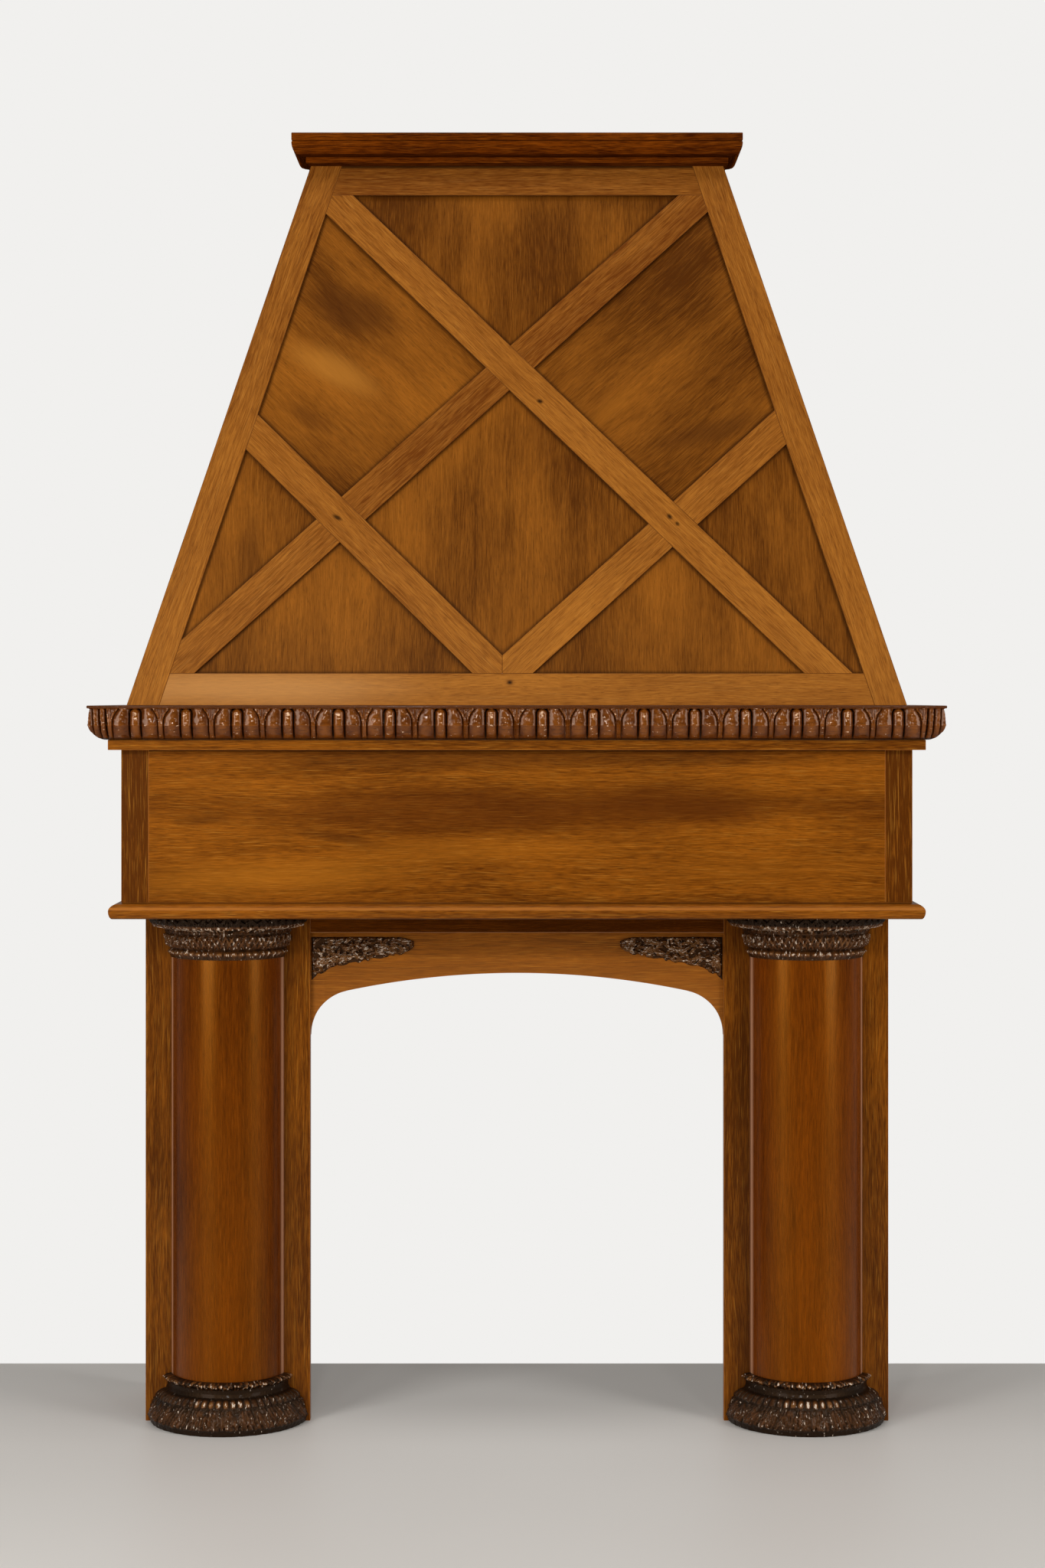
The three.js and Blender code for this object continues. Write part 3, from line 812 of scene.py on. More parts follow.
@dataclass
class ShelfCarving:
    """The egg-and-dart edge of the shelf, in three mitred lengths.

    Fields:
        edge: How far the moulding stands out from the shelf board.
        pitch: From one dart to the next.
        plain_top: Height of the plain fillet over the carving.
        face: Height of the upright face under the fillet.
        under_reach: How far the underside curves back.
        groove: Depth of the deepest cuts.
        egg: Half an egg's width, and the radius of its head.
        egg_drop: How far its head starts below the face's top.
        egg_depth: How far its rounding falls.
        egg_edge: Width of the flat rim round it.
        leaf_start: From an egg's middle to the leaf beside it.
        leaf_depth: How far the leaf's rounding falls.
        dart: Half a dart's width at its foot.
        dart_flare: How much farther it reaches to each side at its top.
        dart_rib: From a dart's side to the rib along it.
        fold: Where the grooves of the corner's leaf lie, as shares of the way past the corner.
        fold_start: How far past the corner that leaf takes over.
        wobble: How uneven the chisel left it.
        gap: Room between two lengths.
        step: Distance between two sections.
        corner_sections: How many sections a mitred end has.
        bumps: The unevenness.
    """

    edge: float = 0.045
    pitch: float = 0.1025
    plain_top: float = 0.0055
    face: float = 0.0338
    under_reach: float = 0.036
    groove: float = 0.0095
    egg: float = 0.0095
    egg_drop: float = 0.0014
    egg_depth: float = 0.0078
    egg_edge: float = 0.0012
    leaf_start: float = 0.0135
    leaf_depth: float = 0.0045
    dart: float = 0.0056
    dart_flare: float = 0.0112
    dart_rib: float = 0.0026
    fold: tuple[float, ...] = (0.1, 0.42, 0.74)
    fold_start: float = 0.004
    wobble: float = 0.0005
    gap: float = 0.0003
    step: float = 0.0016
    corner_sections: int = 29
    bumps: Bumps = field(default_factory=lambda: Bumps(11, 0.007))

    def __post_init__(self) -> None:
        """Reads the places from the frame."""
        low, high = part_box("shelf_carving_front")
        self.top, self.bottom = high.z, low.z
        self.half, self.front = high.x, -low.y
        self.wall = CAD_BOX[1].y
        self.face_top = self.top - self.plain_top
        self.face_bottom = self.face_top - self.face
        self.inner_half = self.half - self.edge
        self.inner_front = self.front - self.edge

    def section(self) -> tuple[np.ndarray, np.ndarray, np.ndarray]:
        """The moulding's section before it is carved.

        Returns:
            How far out and how high each point is, and the share of carving that it takes.
        """
        fillet = np.array([self.edge - 0.0012, self.edge, self.edge, self.edge - 0.001])
        fillet_z = np.array([self.top, self.top - 0.0012, self.face_top + 0.0008, self.face_top])
        face_z = np.linspace(self.face_top - 0.0006, self.face_bottom, 24)
        face = self.edge - 0.0035 * (face_z - self.face_bottom) / self.face
        begin = 0.3
        turn = np.linspace(begin, math.pi / 2, 24)[1:]
        under = self.edge - self.under_reach * (math.cos(begin) - np.cos(turn)) / math.cos(begin)
        drop = (np.sin(turn) - math.sin(begin)) / (1 - math.sin(begin))
        under_z = self.face_bottom - (self.face_bottom - self.bottom) * drop
        out = np.concatenate([[0.0], fillet, face, under, [0.0]])
        height = np.concatenate([[self.top], fillet_z, face_z, under_z, [self.bottom]])
        take_face = np.ones_like(face_z)
        take_face[0] = 0.25
        take_under = np.minimum(1, 1.6 * np.cos(turn))
        share = np.concatenate([np.zeros(5), take_face, take_under, [0.0]])
        return out, height, np.clip(share, 0, 1)

    def cut(self, along: np.ndarray, height: np.ndarray) -> np.ndarray:
        """How deep the carving goes.

        Args:
            along: The place along the moulding. A dart stands at 0.
            height: The height.

        Returns:
            The depth at each place.
        """
        dart = self.from_dart(along)
        egg = self.pitch / 2 - dart
        head = self.face_top - self.egg_drop - self.egg
        reach = np.hypot(egg, np.maximum(height - head, 0))
        border = self.egg + self.egg_edge
        dome = np.clip(1 - (reach / border) ** 2, 0, 1)
        cut = np.where(reach < border, self.egg_depth * (1 - np.sqrt(dome)), 0.0012)
        inner = self.dart_edge(height)
        outer = self.pitch / 2 - self.leaf_start
        lobe = (dart - (inner + outer) / 2) / ((outer - inner) / 2)
        leaf = (np.abs(lobe) < 1) & (reach > border)
        cut = np.where(leaf, 0.0008 + self.leaf_depth * lobe ** 2, cut)
        ribs = np.maximum(ridge(dart, 0.0016), ridge(dart - inner + self.dart_rib, 0.0015))
        ribs = np.maximum(ribs, ridge(dart - 0.5 * inner, 0.0012) * (inner > 0.009))
        cut = np.where(dart < inner, 0.0036 - 0.0028 * ribs, cut)
        cut = np.maximum(cut, self.groove * ridge(reach - self.egg - 0.0022, 0.0024))
        cut = np.maximum(cut, self.groove * 0.8 * ridge(dart - inner, 0.0014))
        wobble = self.wobble * self.bumps.at(along, height * 1.7)
        return np.clip(cut + wobble, 0.0, self.groove + 0.0015)

    def from_dart(self, along: np.ndarray) -> np.ndarray:
        """How far each place is from the middle of the nearest dart."""
        half = self.pitch / 2
        return np.abs((along + half) % self.pitch - half)

    def dart_edge(self, height: np.ndarray) -> np.ndarray:
        """How far each dart reaches to its sides, which is farthest at the top."""
        rise = np.clip((height - self.face_bottom + 0.003) / self.face, 0, 1)
        return self.dart + self.dart_flare * rise ** 3

    def wear_and_highlight(self, along: np.ndarray, height: np.ndarray) -> np.ndarray:
        """The painted highlights on the high places: the brow of each egg and the ribs of each dart."""
        dart = self.from_dart(along)
        brow = ridge(self.pitch / 2 - dart, 0.0042) * ridge(height - self.face_top + 0.0135, 0.0085)
        up = smooth_step(height, self.face_bottom + 0.008, self.face_bottom + 0.02)
        ribs = ridge(dart - self.dart_edge(height) + self.dart_rib, 0.0014) * up
        return 1.5 * brow + 0.8 * ribs

    def fold_cut(self, past: np.ndarray, height: np.ndarray) -> np.ndarray:
        """How deep the leaf that folds round each corner is cut, by how far past the corner it is."""
        lean = 0.12 * np.clip((height - self.bottom) / (self.top - self.bottom), 0, 1)
        curve = past / self.edge - lean
        cut = sum(self.groove * 0.8 * ridge(curve - line, 0.05) for line in self.fold)
        return 0.0015 + cut + 0.0008 * self.bumps.at(past * 2, height * 2)

    def carved(self, along: np.ndarray, height: np.ndarray, past: np.ndarray) -> np.ndarray:
        """How deep each point is cut.

        Args:
            along: The place along the moulding.
            height: The height.
            past: How far past the shelf board's corner it is.

        Returns:
            The depth at each place.
        """
        blend = smooth_step(past, 0.0, self.fold_start)
        return self.cut(along, height) * (1 - blend) + self.fold_cut(past, height) * blend

    def build(self) -> None:
        """Builds the front length and the two returns."""
        out, height, share = self.section()
        ends = self.corner_sections
        straight = np.arange(-self.inner_half, self.inner_half + self.step / 2, self.step)
        corner = np.linspace(-1, 0, ends + 1)[:-1]
        place = np.concatenate([np.full(ends, -self.inner_half), straight, np.full(ends, self.inner_half)])
        spread = np.concatenate([corner, np.zeros_like(straight), -corner[::-1]])
        along = place[:, None] + spread[:, None] * out[None, :]
        high = np.broadcast_to(height, along.shape)
        past = np.maximum(np.abs(along) - self.inner_half, 0)
        self.length("front", along, out, high, self.carved(along, high, past) * share, place, spread)
        depth = self.front + self.wall - self.edge
        straight = np.arange(0.0, depth, self.step)
        place = np.concatenate([straight, np.full(ends + 1, depth - self.gap)])
        spread = np.concatenate([np.zeros_like(straight), np.linspace(0, 1, ends + 1)])
        along = place[:, None] + spread[:, None] * out[None, :]
        high = np.broadcast_to(height, along.shape)
        past = np.maximum(along - depth, 0)
        cut = self.carved(along, high, past) * share
        for side in SIDES:
            self.length(side, along, out, high, cut, place, spread)

    def length(self, name: str, along: np.ndarray, out: np.ndarray, high: np.ndarray,
               cut: np.ndarray, place: np.ndarray, spread: np.ndarray) -> None:
        """Builds one length.

        Args:
            name: Which length it is: front, right or left.
            along: Each point's place along it.
            out: How far out each point of the section is.
            high: Each point's height.
            cut: How deep each point is cut.
            place: Each section's place.
            spread: How far each section leans with the mitre.
        """
        depth = np.maximum(out[None, :] - cut, 0)
        carved = place[:, None] + spread[:, None] * depth
        if name == "front":
            rows = np.stack([carved, -self.inner_front - depth, high], axis=-1)
        else:
            side = SIDES[name]
            beyond = self.inner_half + self.gap / 2 + depth * (1 - self.gap / self.edge)
            rows = np.stack([side * beyond, self.wall - carved, high], axis=-1)
        wear_and_highlight = self.wear_and_highlight(along, high)
        if name == "right":
            rows, cut, wear_and_highlight = rows[:, ::-1], cut[:, ::-1], wear_and_highlight[:, ::-1]
        node = "shelf_carving_" + name
        mesh = grid_mesh(node, rows, 60.0)
        ways = ((1, 0, 0), (0, -1, 0)) if name == "front" else ((0, 1, 0), (1, 0, 0))
        set_grain(mesh, *ways)
        height = rows[..., 2]
        # The relief value: lighter where less is cut, with a painted highlight along the break of the face,
        # painted shade over the underside's lowest 7 mm, the painted highlights on the egg brows and dart
        # ribs, and 0.45 on the plain fillet at the top.
        light = 1 - np.clip(cut / self.groove, 0, 1) + 0.25 * ridge(height - self.face_bottom, 0.001)
        light = light * smooth_step(height, self.bottom, self.bottom + 0.007)
        light = light + wear_and_highlight * (light > 0.5)
        light = np.where(height > self.face_top, 0.45, light)
        set_number(mesh, "relief", light)
        KIT.add(node, mesh, Finish.EGG)


@dataclass
class Column:
    """A half-round column with its carved capital and base.

    Fields:
        side: Right or left.
        centre_behind: How far the column's centre is behind the leg board's face.
        gap: Room between the column and the board.
        arc_step: Distance between two points round the carving.
        edge_highlight_line: Where a painted highlight line runs down each edge of the shaft, as a share of
            its radius.
        painted_light_difference: How much lighter the right shaft is than most boards, and the left one
            darker: painted light and painted shade.
        brightest_glint: The highest relief value that a carving gets, where glints are painted.
        bead_line: Height of the capital's beads.
        capital_beads: How many stand round it.
        leaf_band: Foot and tip of the capital's leaves, as heights.
        lip_line: Height of the flange's frayed lower edge.
        ring_line: Height of the base's frayed ring.
        ring_beads: How many beads stand round it.
        cushion_flutes: How many flutes the base's cushion has.
        highlight_stroke_line: Height of the painted highlight strokes on them.
        frond_foot: Height from which the base's fronds fan out downwards.
    """

    side: str
    centre_behind: float = 0.028
    gap: float = 0.0003
    arc_step: float = 0.0016
    edge_highlight_line: float = 0.948
    painted_light_difference: float = 0.08
    brightest_glint: float = 2.6
    bead_line: float = 0.982
    capital_beads: int = 22
    leaf_band: tuple[float, float] = (0.990, 1.020)
    lip_line: float = 1.0335
    ring_line: float = 0.0945
    ring_beads: int = 34
    cushion_flutes: int = 27
    highlight_stroke_line: float = 0.0615
    frond_foot: float = 0.055

    def __post_init__(self) -> None:
        """Reads the places from the frame."""
        low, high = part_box("leg_board_right")
        self.board_face = low.y
        self.centre_x = (low.x + high.x) / 2 * SIDES[self.side]
        self.half_width = (high.x - low.x) / 2
        self.centre_y = self.board_face + self.centre_behind
        shaft_low, shaft_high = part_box("column_shaft_right")
        self.shaft_bottom, self.shaft_top = shaft_low.z, shaft_high.z
        self.shaft_radius = self.centre_y - shaft_low.y
        self.top = high.z

    def half_round(self, name: str, height: np.ndarray, radius: np.ndarray, relief: np.ndarray,
                   finish: Finish, ridge_and_light: np.ndarray | None = None) -> None:
        """Builds one half-round piece from a net of heights and radii.

        Args:
            name: The CAD node without its side.
            height: The height of each row.
            radius: The plain radius of each row.
            relief: How far each point stands out from it.
            finish: Its finish.
            ridge_and_light: How much each point counts as a ridge on a carving, with painted shade, glints
                and highlights in it.
        """
        columns = relief.shape[1]
        back = self.centre_behind + self.gap
        widest = np.arccos(np.clip(back / radius, -1, 1))
        turn = np.linspace(-1, 1, columns)[None, :] * widest[:, None]
        reach = radius[:, None] + relief
        x = np.clip(reach * np.sin(turn), -self.half_width, self.half_width)
        y = self.centre_y - reach * np.cos(turn)
        y = np.minimum(y, self.board_face - self.gap)
        y[:, 0] = self.board_face - self.gap
        y[:, -1] = self.board_face - self.gap
        z = np.broadcast_to(height[:, None], x.shape)
        rows = np.stack([self.centre_x + x, y, z], axis=-1)
        node = f"{name}_{self.side}"
        mesh = grid_mesh(node, rows, 60.0)
        arc = turn * radius[:, None]
        grain = np.stack([z, arc, np.zeros_like(arc)], axis=-1).reshape(-1, 3) + KIT.offset()
        mesh.attributes.new("grain", "FLOAT_VECTOR", "POINT").data.foreach_set(
            "vector", grain.astype(np.float32).ravel()
        )
        if isinstance(finish.value, Carving):
            set_number(mesh, "relief", np.clip(ridge_and_light, 0, self.brightest_glint))
        else:
            # Painted highlight: a pale line down each edge of the shaft, drawn through the arris value.
            share = np.abs(np.sin(turn)) * radius[:, None] / self.shaft_radius
            set_number(mesh, "arris", 4.2 * ridge(share - self.edge_highlight_line, 0.018))
        KIT.add(node, mesh, finish, lightness=self.painted_light_difference * SIDES[self.side])

    def shaft(self) -> None:
        """The plain round shaft."""
        ends = [self.shaft_bottom, self.shaft_top]
        height = np.sort([*ends, *np.linspace(ends[0] + 0.0008, ends[1] - 0.0008, 10)])
        radius = np.full_like(height, self.shaft_radius)
        self.half_round("column_shaft", height, radius, np.zeros((12, 161)), Finish.RED)

    def profile(self, levels: Sequence[tuple[float, float]], step: float) -> tuple[np.ndarray, np.ndarray]:
        """Heights and radii along a profile, at even steps.

        Args:
            levels: Heights and radii where the profile turns.
            step: Distance between two rows.

        Returns:
            The heights and the radii.
        """
        corners = np.array(levels)
        lengths = np.hypot(*np.diff(corners, axis=0).T)
        walked = np.concatenate([[0], np.cumsum(lengths)])
        at = np.linspace(0, walked[-1], int(walked[-1] / step) + 1)
        return np.interp(at, walked, corners[:, 0]), np.interp(at, walked, corners[:, 1])

    def foliage(self, height: np.ndarray, arc: np.ndarray, band: tuple[float, float], count: int,
                rise: float, seed: int, lobes: Sequence[float], lean: float) -> np.ndarray:
        """A row of acanthus leaves round the column.

        Args:
            height: The height of each point.
            arc: Its place round the column, in metres.
            band: The leaves' foot and tip, as heights.
            count: How many leaves stand in the row.
            rise: How far they stand out.
            seed: A number for their small differences.
            lobes: The place of each lobe of a leaf, where 0 is the upright one.
            lean: How far the next lobe leans, in radians.

        Returns:
            How far each point stands out.
        """
        chance = np.random.default_rng(seed)
        relief = np.zeros_like(arc)
        foot, tip = band
        tall = abs(tip - foot)
        upwards = 1 if tip > foot else -1
        span = arc.max() - arc.min()
        pitch = span / count
        for leaf in range(count + 1):
            middle = arc.min() + leaf * pitch
            for lobe in lobes:
                turn = (math.pi / 2 - lobe * lean + chance.uniform(-0.12, 0.12)) * upwards
                start = foot + upwards * tall * 0.12 * abs(lobe)
                long = tall * (1.0 - 0.13 * abs(lobe)) / max(math.cos(lobe * lean), 0.5)
                Leaflet(
                    (middle + lobe * pitch * 0.12, start), turn, long, pitch * 0.36,
                    rise * chance.uniform(0.8, 1.0),
                ).raise_on(arc, height, relief)
        return relief

    def net(self, height: np.ndarray, radius: np.ndarray) -> tuple[np.ndarray, np.ndarray]:
        """The heights and the places round the column of a net of points.

        Args:
            height: The height of each row.
            radius: The radius of each row.

        Returns:
            Two arrays with a row for each height.
        """
        columns = int(math.pi * radius.max() / self.arc_step)
        mean = float(radius.mean())
        arc = np.linspace(-1, 1, columns) * mean * math.pi / 2
        shape = (len(height), columns)
        return np.broadcast_to(height[:, None], shape), np.broadcast_to(arc, shape)

    def beads(self, arc: np.ndarray, count: int, shift: np.ndarray | float = 0.0) -> np.ndarray:
        """A row of rounded beads round the column, 1 at the middle of each.

        Args:
            arc: The place round the column.
            count: How many stand in the row.
            shift: How far each place is shifted, in radians of the wave.

        Returns:
            How far each point is up a bead, 0 to 1.
        """
        return np.abs(np.sin(arc / (arc.max() - arc.min()) * math.pi * count + shift))

    def frayed(self, seed: int, cell: float, arc: np.ndarray, height: np.ndarray) -> np.ndarray:
        """Ragged carving, 0 to 1, that stands out in spots."""
        return np.clip(0.4 + 0.9 * Bumps(seed, cell).at(arc, height), 0, 1)

    def capital(self) -> None:
        """The capital: beads, a band of leaves, a dark groove and a leafy flange."""
        levels = [
            (self.shaft_top + self.gap, 0.122), (0.973, 0.1225), (0.9755, 0.1245), (0.982, 0.1265),
            (0.987, 0.1245), (0.9885, 0.123), (0.991, 0.126), (0.999, 0.131), (1.017, 0.1335),
            (1.0205, 0.1315), (1.0225, 0.135), (1.0265, 0.1355), (1.029, 0.134), (1.032, 0.144),
            (1.036, 0.157), (1.046, 0.163), (self.top, 0.165),
        ]
        height, radius = self.profile(levels, 0.0012)
        z, arc = self.net(height, radius)
        beads = self.beads(arc, self.capital_beads)
        relief = 0.0046 * beads ** 0.7 * ridge(z - self.bead_line, 0.0038)
        leaves = self.foliage(z, arc, self.leaf_band, 27, 0.0075, 3, (-1, 1), 0.62)
        relief = relief + leaves * smooth_step(z, 0.989, 0.991) * smooth_step(z, 1.0215, 1.0185)
        flange = self.foliage(z, arc, (1.031, 1.0615), 19, 0.007, 4, (-1, 0, 1), 0.75)
        relief = relief + flange * smooth_step(z, 1.030, 1.034)
        relief = relief + 0.001 * Bumps(5, 0.005).at(arc, z)
        frayed = self.frayed(12, 0.0045, arc, z)
        lip = ridge(z - self.lip_line, 0.0042)
        relief = relief + 0.003 * frayed * lip
        # Painted shadow on the flange's upper part under the nosing, painted glints along its frayed lower
        # edge and painted highlights on the beads.
        ridge_and_light = (0.3 + 0.7 * relief / 0.006) * (1 - 0.85 * smooth_step(z, 1.038, 1.044))
        ridge_and_light = ridge_and_light * (1 - 0.6 * lip) + 2.6 * frayed ** 2 * lip
        ridge_and_light = ridge_and_light + 0.6 * beads ** 2 * ridge(z - self.bead_line, 0.003)
        self.half_round("column_capital", height, radius, relief, Finish.DARK, ridge_and_light)

    def base(self) -> None:
        """The base: a leafy cushion that spreads to the floor, a smooth cove and a ring of beads."""
        levels = [
            (0.0, 0.164), (0.008, 0.1665), (0.014, 0.1655), (0.024, 0.1625), (0.040, 0.1575),
            (0.054, 0.1515), (0.062, 0.1455), (0.067, 0.139), (0.070, 0.133), (0.078, 0.1295),
            (0.0875, 0.129), (0.0905, 0.132), (0.095, 0.1345), (0.0985, 0.132),
            (self.shaft_bottom - self.gap, 0.123),
        ]
        height, radius = self.profile(levels, 0.0013)
        z, arc = self.net(height, radius)
        span = arc.max() - arc.min()
        rough = Bumps(6, 0.006)
        beads = self.beads(arc, self.ring_beads, rough.at(arc, z))
        frayed = self.frayed(14, 0.004, arc, z)
        ring = ridge(z - self.ring_line, 0.006)
        relief = (0.003 * beads + 0.003 * frayed) * ring
        flutes = self.beads(arc, self.cushion_flutes)
        shoulder = smooth_step(z, 0.051, 0.057) * smooth_step(z, 0.072, 0.066)
        relief = relief + 0.005 * flutes ** 0.7 * shoulder
        down = self.frond_foot - z
        fanned = arc * (1 - 2.6 * down * (1 + 1.2 * np.abs(arc) / span)) + 0.0012 * rough.at(arc, z)
        uneven = 0.5 + 0.5 * Bumps(9, 0.009).at(arc, z)
        veins = np.abs(np.sin((fanned + 0.004 * uneven) / 0.0085 * math.pi)) * uneven
        fronds = np.abs(np.sin(fanned / 0.034 * math.pi)) ** 0.5
        leafy = smooth_step(z, 0.008, 0.014) * smooth_step(z, 0.055, 0.049)
        leaves = self.foliage(z, arc, (0.05, 0.012), 15, 0.006, 8, (-2, -1, 0, 1, 2), 0.4)
        relief = relief + (0.004 * veins + 0.0025 * fronds + 0.6 * leaves) * leafy
        relief = relief + 0.0009 * rough.at(arc, z) * smooth_step(z, 0.074, 0.066)
        # Painted highlights: bright strokes on the cushion's flutes, and glints on the frayed ring.
        highlight_strokes = ridge(z - self.highlight_stroke_line, 0.004) * flutes ** 3 * smooth_step(np.abs(arc), 0.075, 0.055)
        ridge_and_light = 0.04 + 0.44 * relief / 0.0075 + 1.3 * frayed ** 2 * ring + 1.6 * highlight_strokes
        self.half_round("column_base", height, radius, relief, Finish.DARK, ridge_and_light)

    def build(self) -> None:
        """Builds the shaft, the capital and the base."""
        self.shaft()
        self.capital()
        self.base()


@dataclass
class Opening:
    """The arched board over the fire opening and the carving on its haunches.

    Fields:
        gap: Room between two boards.
        crown: Height of the arch's crown.
        middle_radius: Radius of the flat middle arc.
        corner_radius: Radius of the tight arc at each side.
        above_arch: How far the carving keeps from the arch.
        carving: The carving's inner and outer x.
        carving_top: Its top.
        thickness: How far the carving stands out.
        leaflets: How many small leaves each carving has.
        step: Distance between two columns of the carving's points.
        rows: How many points each column has.
        seeds: A number for each side's small differences.
        ease: How far the arch's edge is eased.
    """

    gap: float = 0.0003
    crown: float = 0.9344
    middle_radius: float = 1.727
    corner_radius: float = 0.095
    above_arch: float = 0.055
    carving: tuple[float, float] = (0.216, 0.430)
    carving_top: float = 1.010
    thickness: float = 0.013
    leaflets: int = 230
    step: float = 0.0012
    rows: int = 96
    seeds: dict[str, int] = field(default_factory=lambda: {"right": 21, "left": 22})
    ease: float = 0.0018

    def __post_init__(self) -> None:
        """Works out the arch's centres from the frame."""
        low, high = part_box("arch_board")
        self.half, self.face, self.back, self.top = high.x + self.gap / 2, low.y, high.y, high.z
        self.corner_x = high.x + self.gap - self.corner_radius
        self.middle_z = self.crown - self.middle_radius
        between = self.middle_radius - self.corner_radius
        self.springing = self.middle_z + math.sqrt(between ** 2 - self.corner_x ** 2)
        self.corner_turn = math.asin(self.corner_x / between)

    def arch_height(self, x: np.ndarray, away: float) -> np.ndarray:
        """The height of a line that keeps a distance from the arch.

        Args:
            x: Places across the opening.
            away: The distance from the arch.

        Returns:
            The height at each place.
        """
        corner = self.corner_radius - self.gap + away
        middle = self.middle_radius + away
        reach = np.abs(x)
        turn_x = self.corner_x + corner * math.sin(self.corner_turn)
        over_middle = self.middle_z + np.sqrt(np.maximum(middle ** 2 - reach ** 2, 0))
        over_corner = self.springing + np.sqrt(np.maximum(corner ** 2 - (reach - self.corner_x) ** 2, 0))
        return np.where(reach > turn_x, over_corner, over_middle)

    def board(self) -> None:
        """The arched board, with an eased edge."""
        ease = self.ease
        turn = np.linspace(-1, 1, 241)
        x = self.half * np.sin(turn * math.pi / 2)
        low = self.arch_height(x, 0.0)
        low[0] = low[-1] = self.springing
        section = [(self.face + ease, 0.0), (self.face + ease * 0.3, ease * 0.3), (self.face, ease)]
        top = [(self.face, self.top), (self.back, self.top)]
        rows = []
        for across, foot in zip(x, low):
            line = [(across, y, foot + up) for y, up in section]
            line += [(across, y, z) for y, z in top]
            line.append((across, self.back, foot))
            rows.append(line)
        mesh = grid_mesh("arch_board", np.array(rows)[:, ::-1])
        set_number(mesh, "arris", np.tile([0.0, 0.0, 0.0, 1.6, 3.2, 3.2], len(rows)))
        set_grain(mesh, (1, 0, 0), (0, -1, 0))
        KIT.add("arch_board", mesh, Finish.AMBER, lightness=-0.12)

    def spandrel(self, side: str) -> None:
        """The leafy carving over one haunch of the arch.

        Args:
            side: Right or left.
        """
        inner, outer = self.carving
        share = np.linspace(0, 1, int((outer - inner) / self.step))
        x = inner + (outer - inner) * share
        ragged = Bumps(31, 0.0065).at(x, np.zeros_like(x))
        low = self.arch_height(x, self.above_arch) + 0.0035 * ragged
        tip = np.sqrt(np.minimum(1, share * 7 + 0.12)) * (1 - 0.08 * np.abs(ragged) * (share < 0.3))
        middle = (self.carving_top + low) / 2 + 0.004 * (1 - tip)
        reach = (self.carving_top - low) / 2 * tip
        level = np.linspace(-1, 1, self.rows)
        across = np.broadcast_to(x[:, None], (len(x), self.rows))
        up = middle[:, None] + reach[:, None] * level[None, :]
        relief = self.leaves(self.seeds[side], share, x, middle, reach, across, up)
        ends = np.minimum(1, np.minimum(share, 1 - share) * 40)
        relief = (0.0015 + relief) * (np.minimum(1, (1 - np.abs(level)) * 9)[None, :] * ends[:, None])
        sign = SIDES[side]
        face = self.face - self.gap
        front = np.stack([across * sign, face - np.minimum(relief, self.thickness), up], axis=-1)
        back = np.stack([across * sign, np.full_like(up, face), up], axis=-1)
        ring = np.concatenate([front, back[:, [-1, 0]]], axis=1)
        heights = np.concatenate([relief, np.zeros((len(x), 2))], axis=1)
        if sign > 0:
            ring, heights = ring[:, ::-1], heights[:, ::-1]
        node = f"spandrel_carving_{side}"
        mesh = grid_mesh(node, ring, 75.0)
        set_grain(mesh, (1, 0, 0), (0, -1, 0))
        set_number(mesh, "relief", np.clip(0.15 + heights / (self.thickness * 0.75), 0, 1.1))
        KIT.add(node, mesh, Finish.DARK)

    def leaves(self, seed: int, share: np.ndarray, x: np.ndarray, middle: np.ndarray, reach: np.ndarray,
               across: np.ndarray, up: np.ndarray) -> np.ndarray:
        """The small leaves that fill one carving.

        Args:
            seed: A number for their places.
            share: How far along the carving each column is, 0 to 1.
            x: Each column's place across the opening.
            middle: The height of its middle.
            reach: Half its height.
            across: Each point's place across the opening.
            up: Each point's height.

        Returns:
            How far each point stands out.
        """
        relief = np.zeros_like(up)
        chance = np.random.default_rng(seed)
        for _ in range(self.leaflets):
            at = chance.uniform(0.0, 1.0)
            rise = chance.uniform(-0.95, 0.95)
            height = np.interp(at, share, middle) + np.interp(at, share, reach) * rise
            turn = chance.normal(math.pi * 0.9, 0.9)
            long = chance.uniform(0.012, 0.024)
            wide = long * chance.uniform(0.26, 0.4)
            out = self.thickness * chance.uniform(0.45, 0.95)
            Leaflet((np.interp(at, share, x), height), turn, long, wide, out).raise_on(across, up, relief)
        return relief

    def build(self) -> None:
        """Builds the arched board, its batten and both carvings."""
        self.board()
        # The batten's lightness of -0.4 paints the shade under the frieze and the nosing.
        Board("arch_batten", Finish.RED, lightness=-0.4).build()
        for side in SIDES:
            self.spandrel(side)


@dataclass
class Legs:
    """The flat boards of the legs, with a column on each.

    Fields:
        shadow_middle: How far from the mantel's middle the painted shadow along a column has its own.
        shadow_reach: How far the painted shadow reaches to each side.
    """

    shadow_middle: float = 0.596
    shadow_reach: float = 0.158

    def build(self) -> None:
        """Builds both legs."""
        for side, sign in SIDES.items():
            # Painted shadow: each column's shadow on its leg board, as a dark stain centred on the column.
            painted_shade = Stain(
                (self.shadow_middle * sign, 0.5), (self.shadow_reach, 3.0), 0, colour(44, 18, 2), 0.85, 0.12,
            )
            Board(
                f"leg_board_{side}", Finish.AMBER, Run.UPRIGHT, lightness=-0.16, stains=(painted_shade,),
            ).build()
            Board(f"leg_side_{side}", Finish.AMBER, Run.UPRIGHT, lightness=-0.2).build()
            Column(side).build()


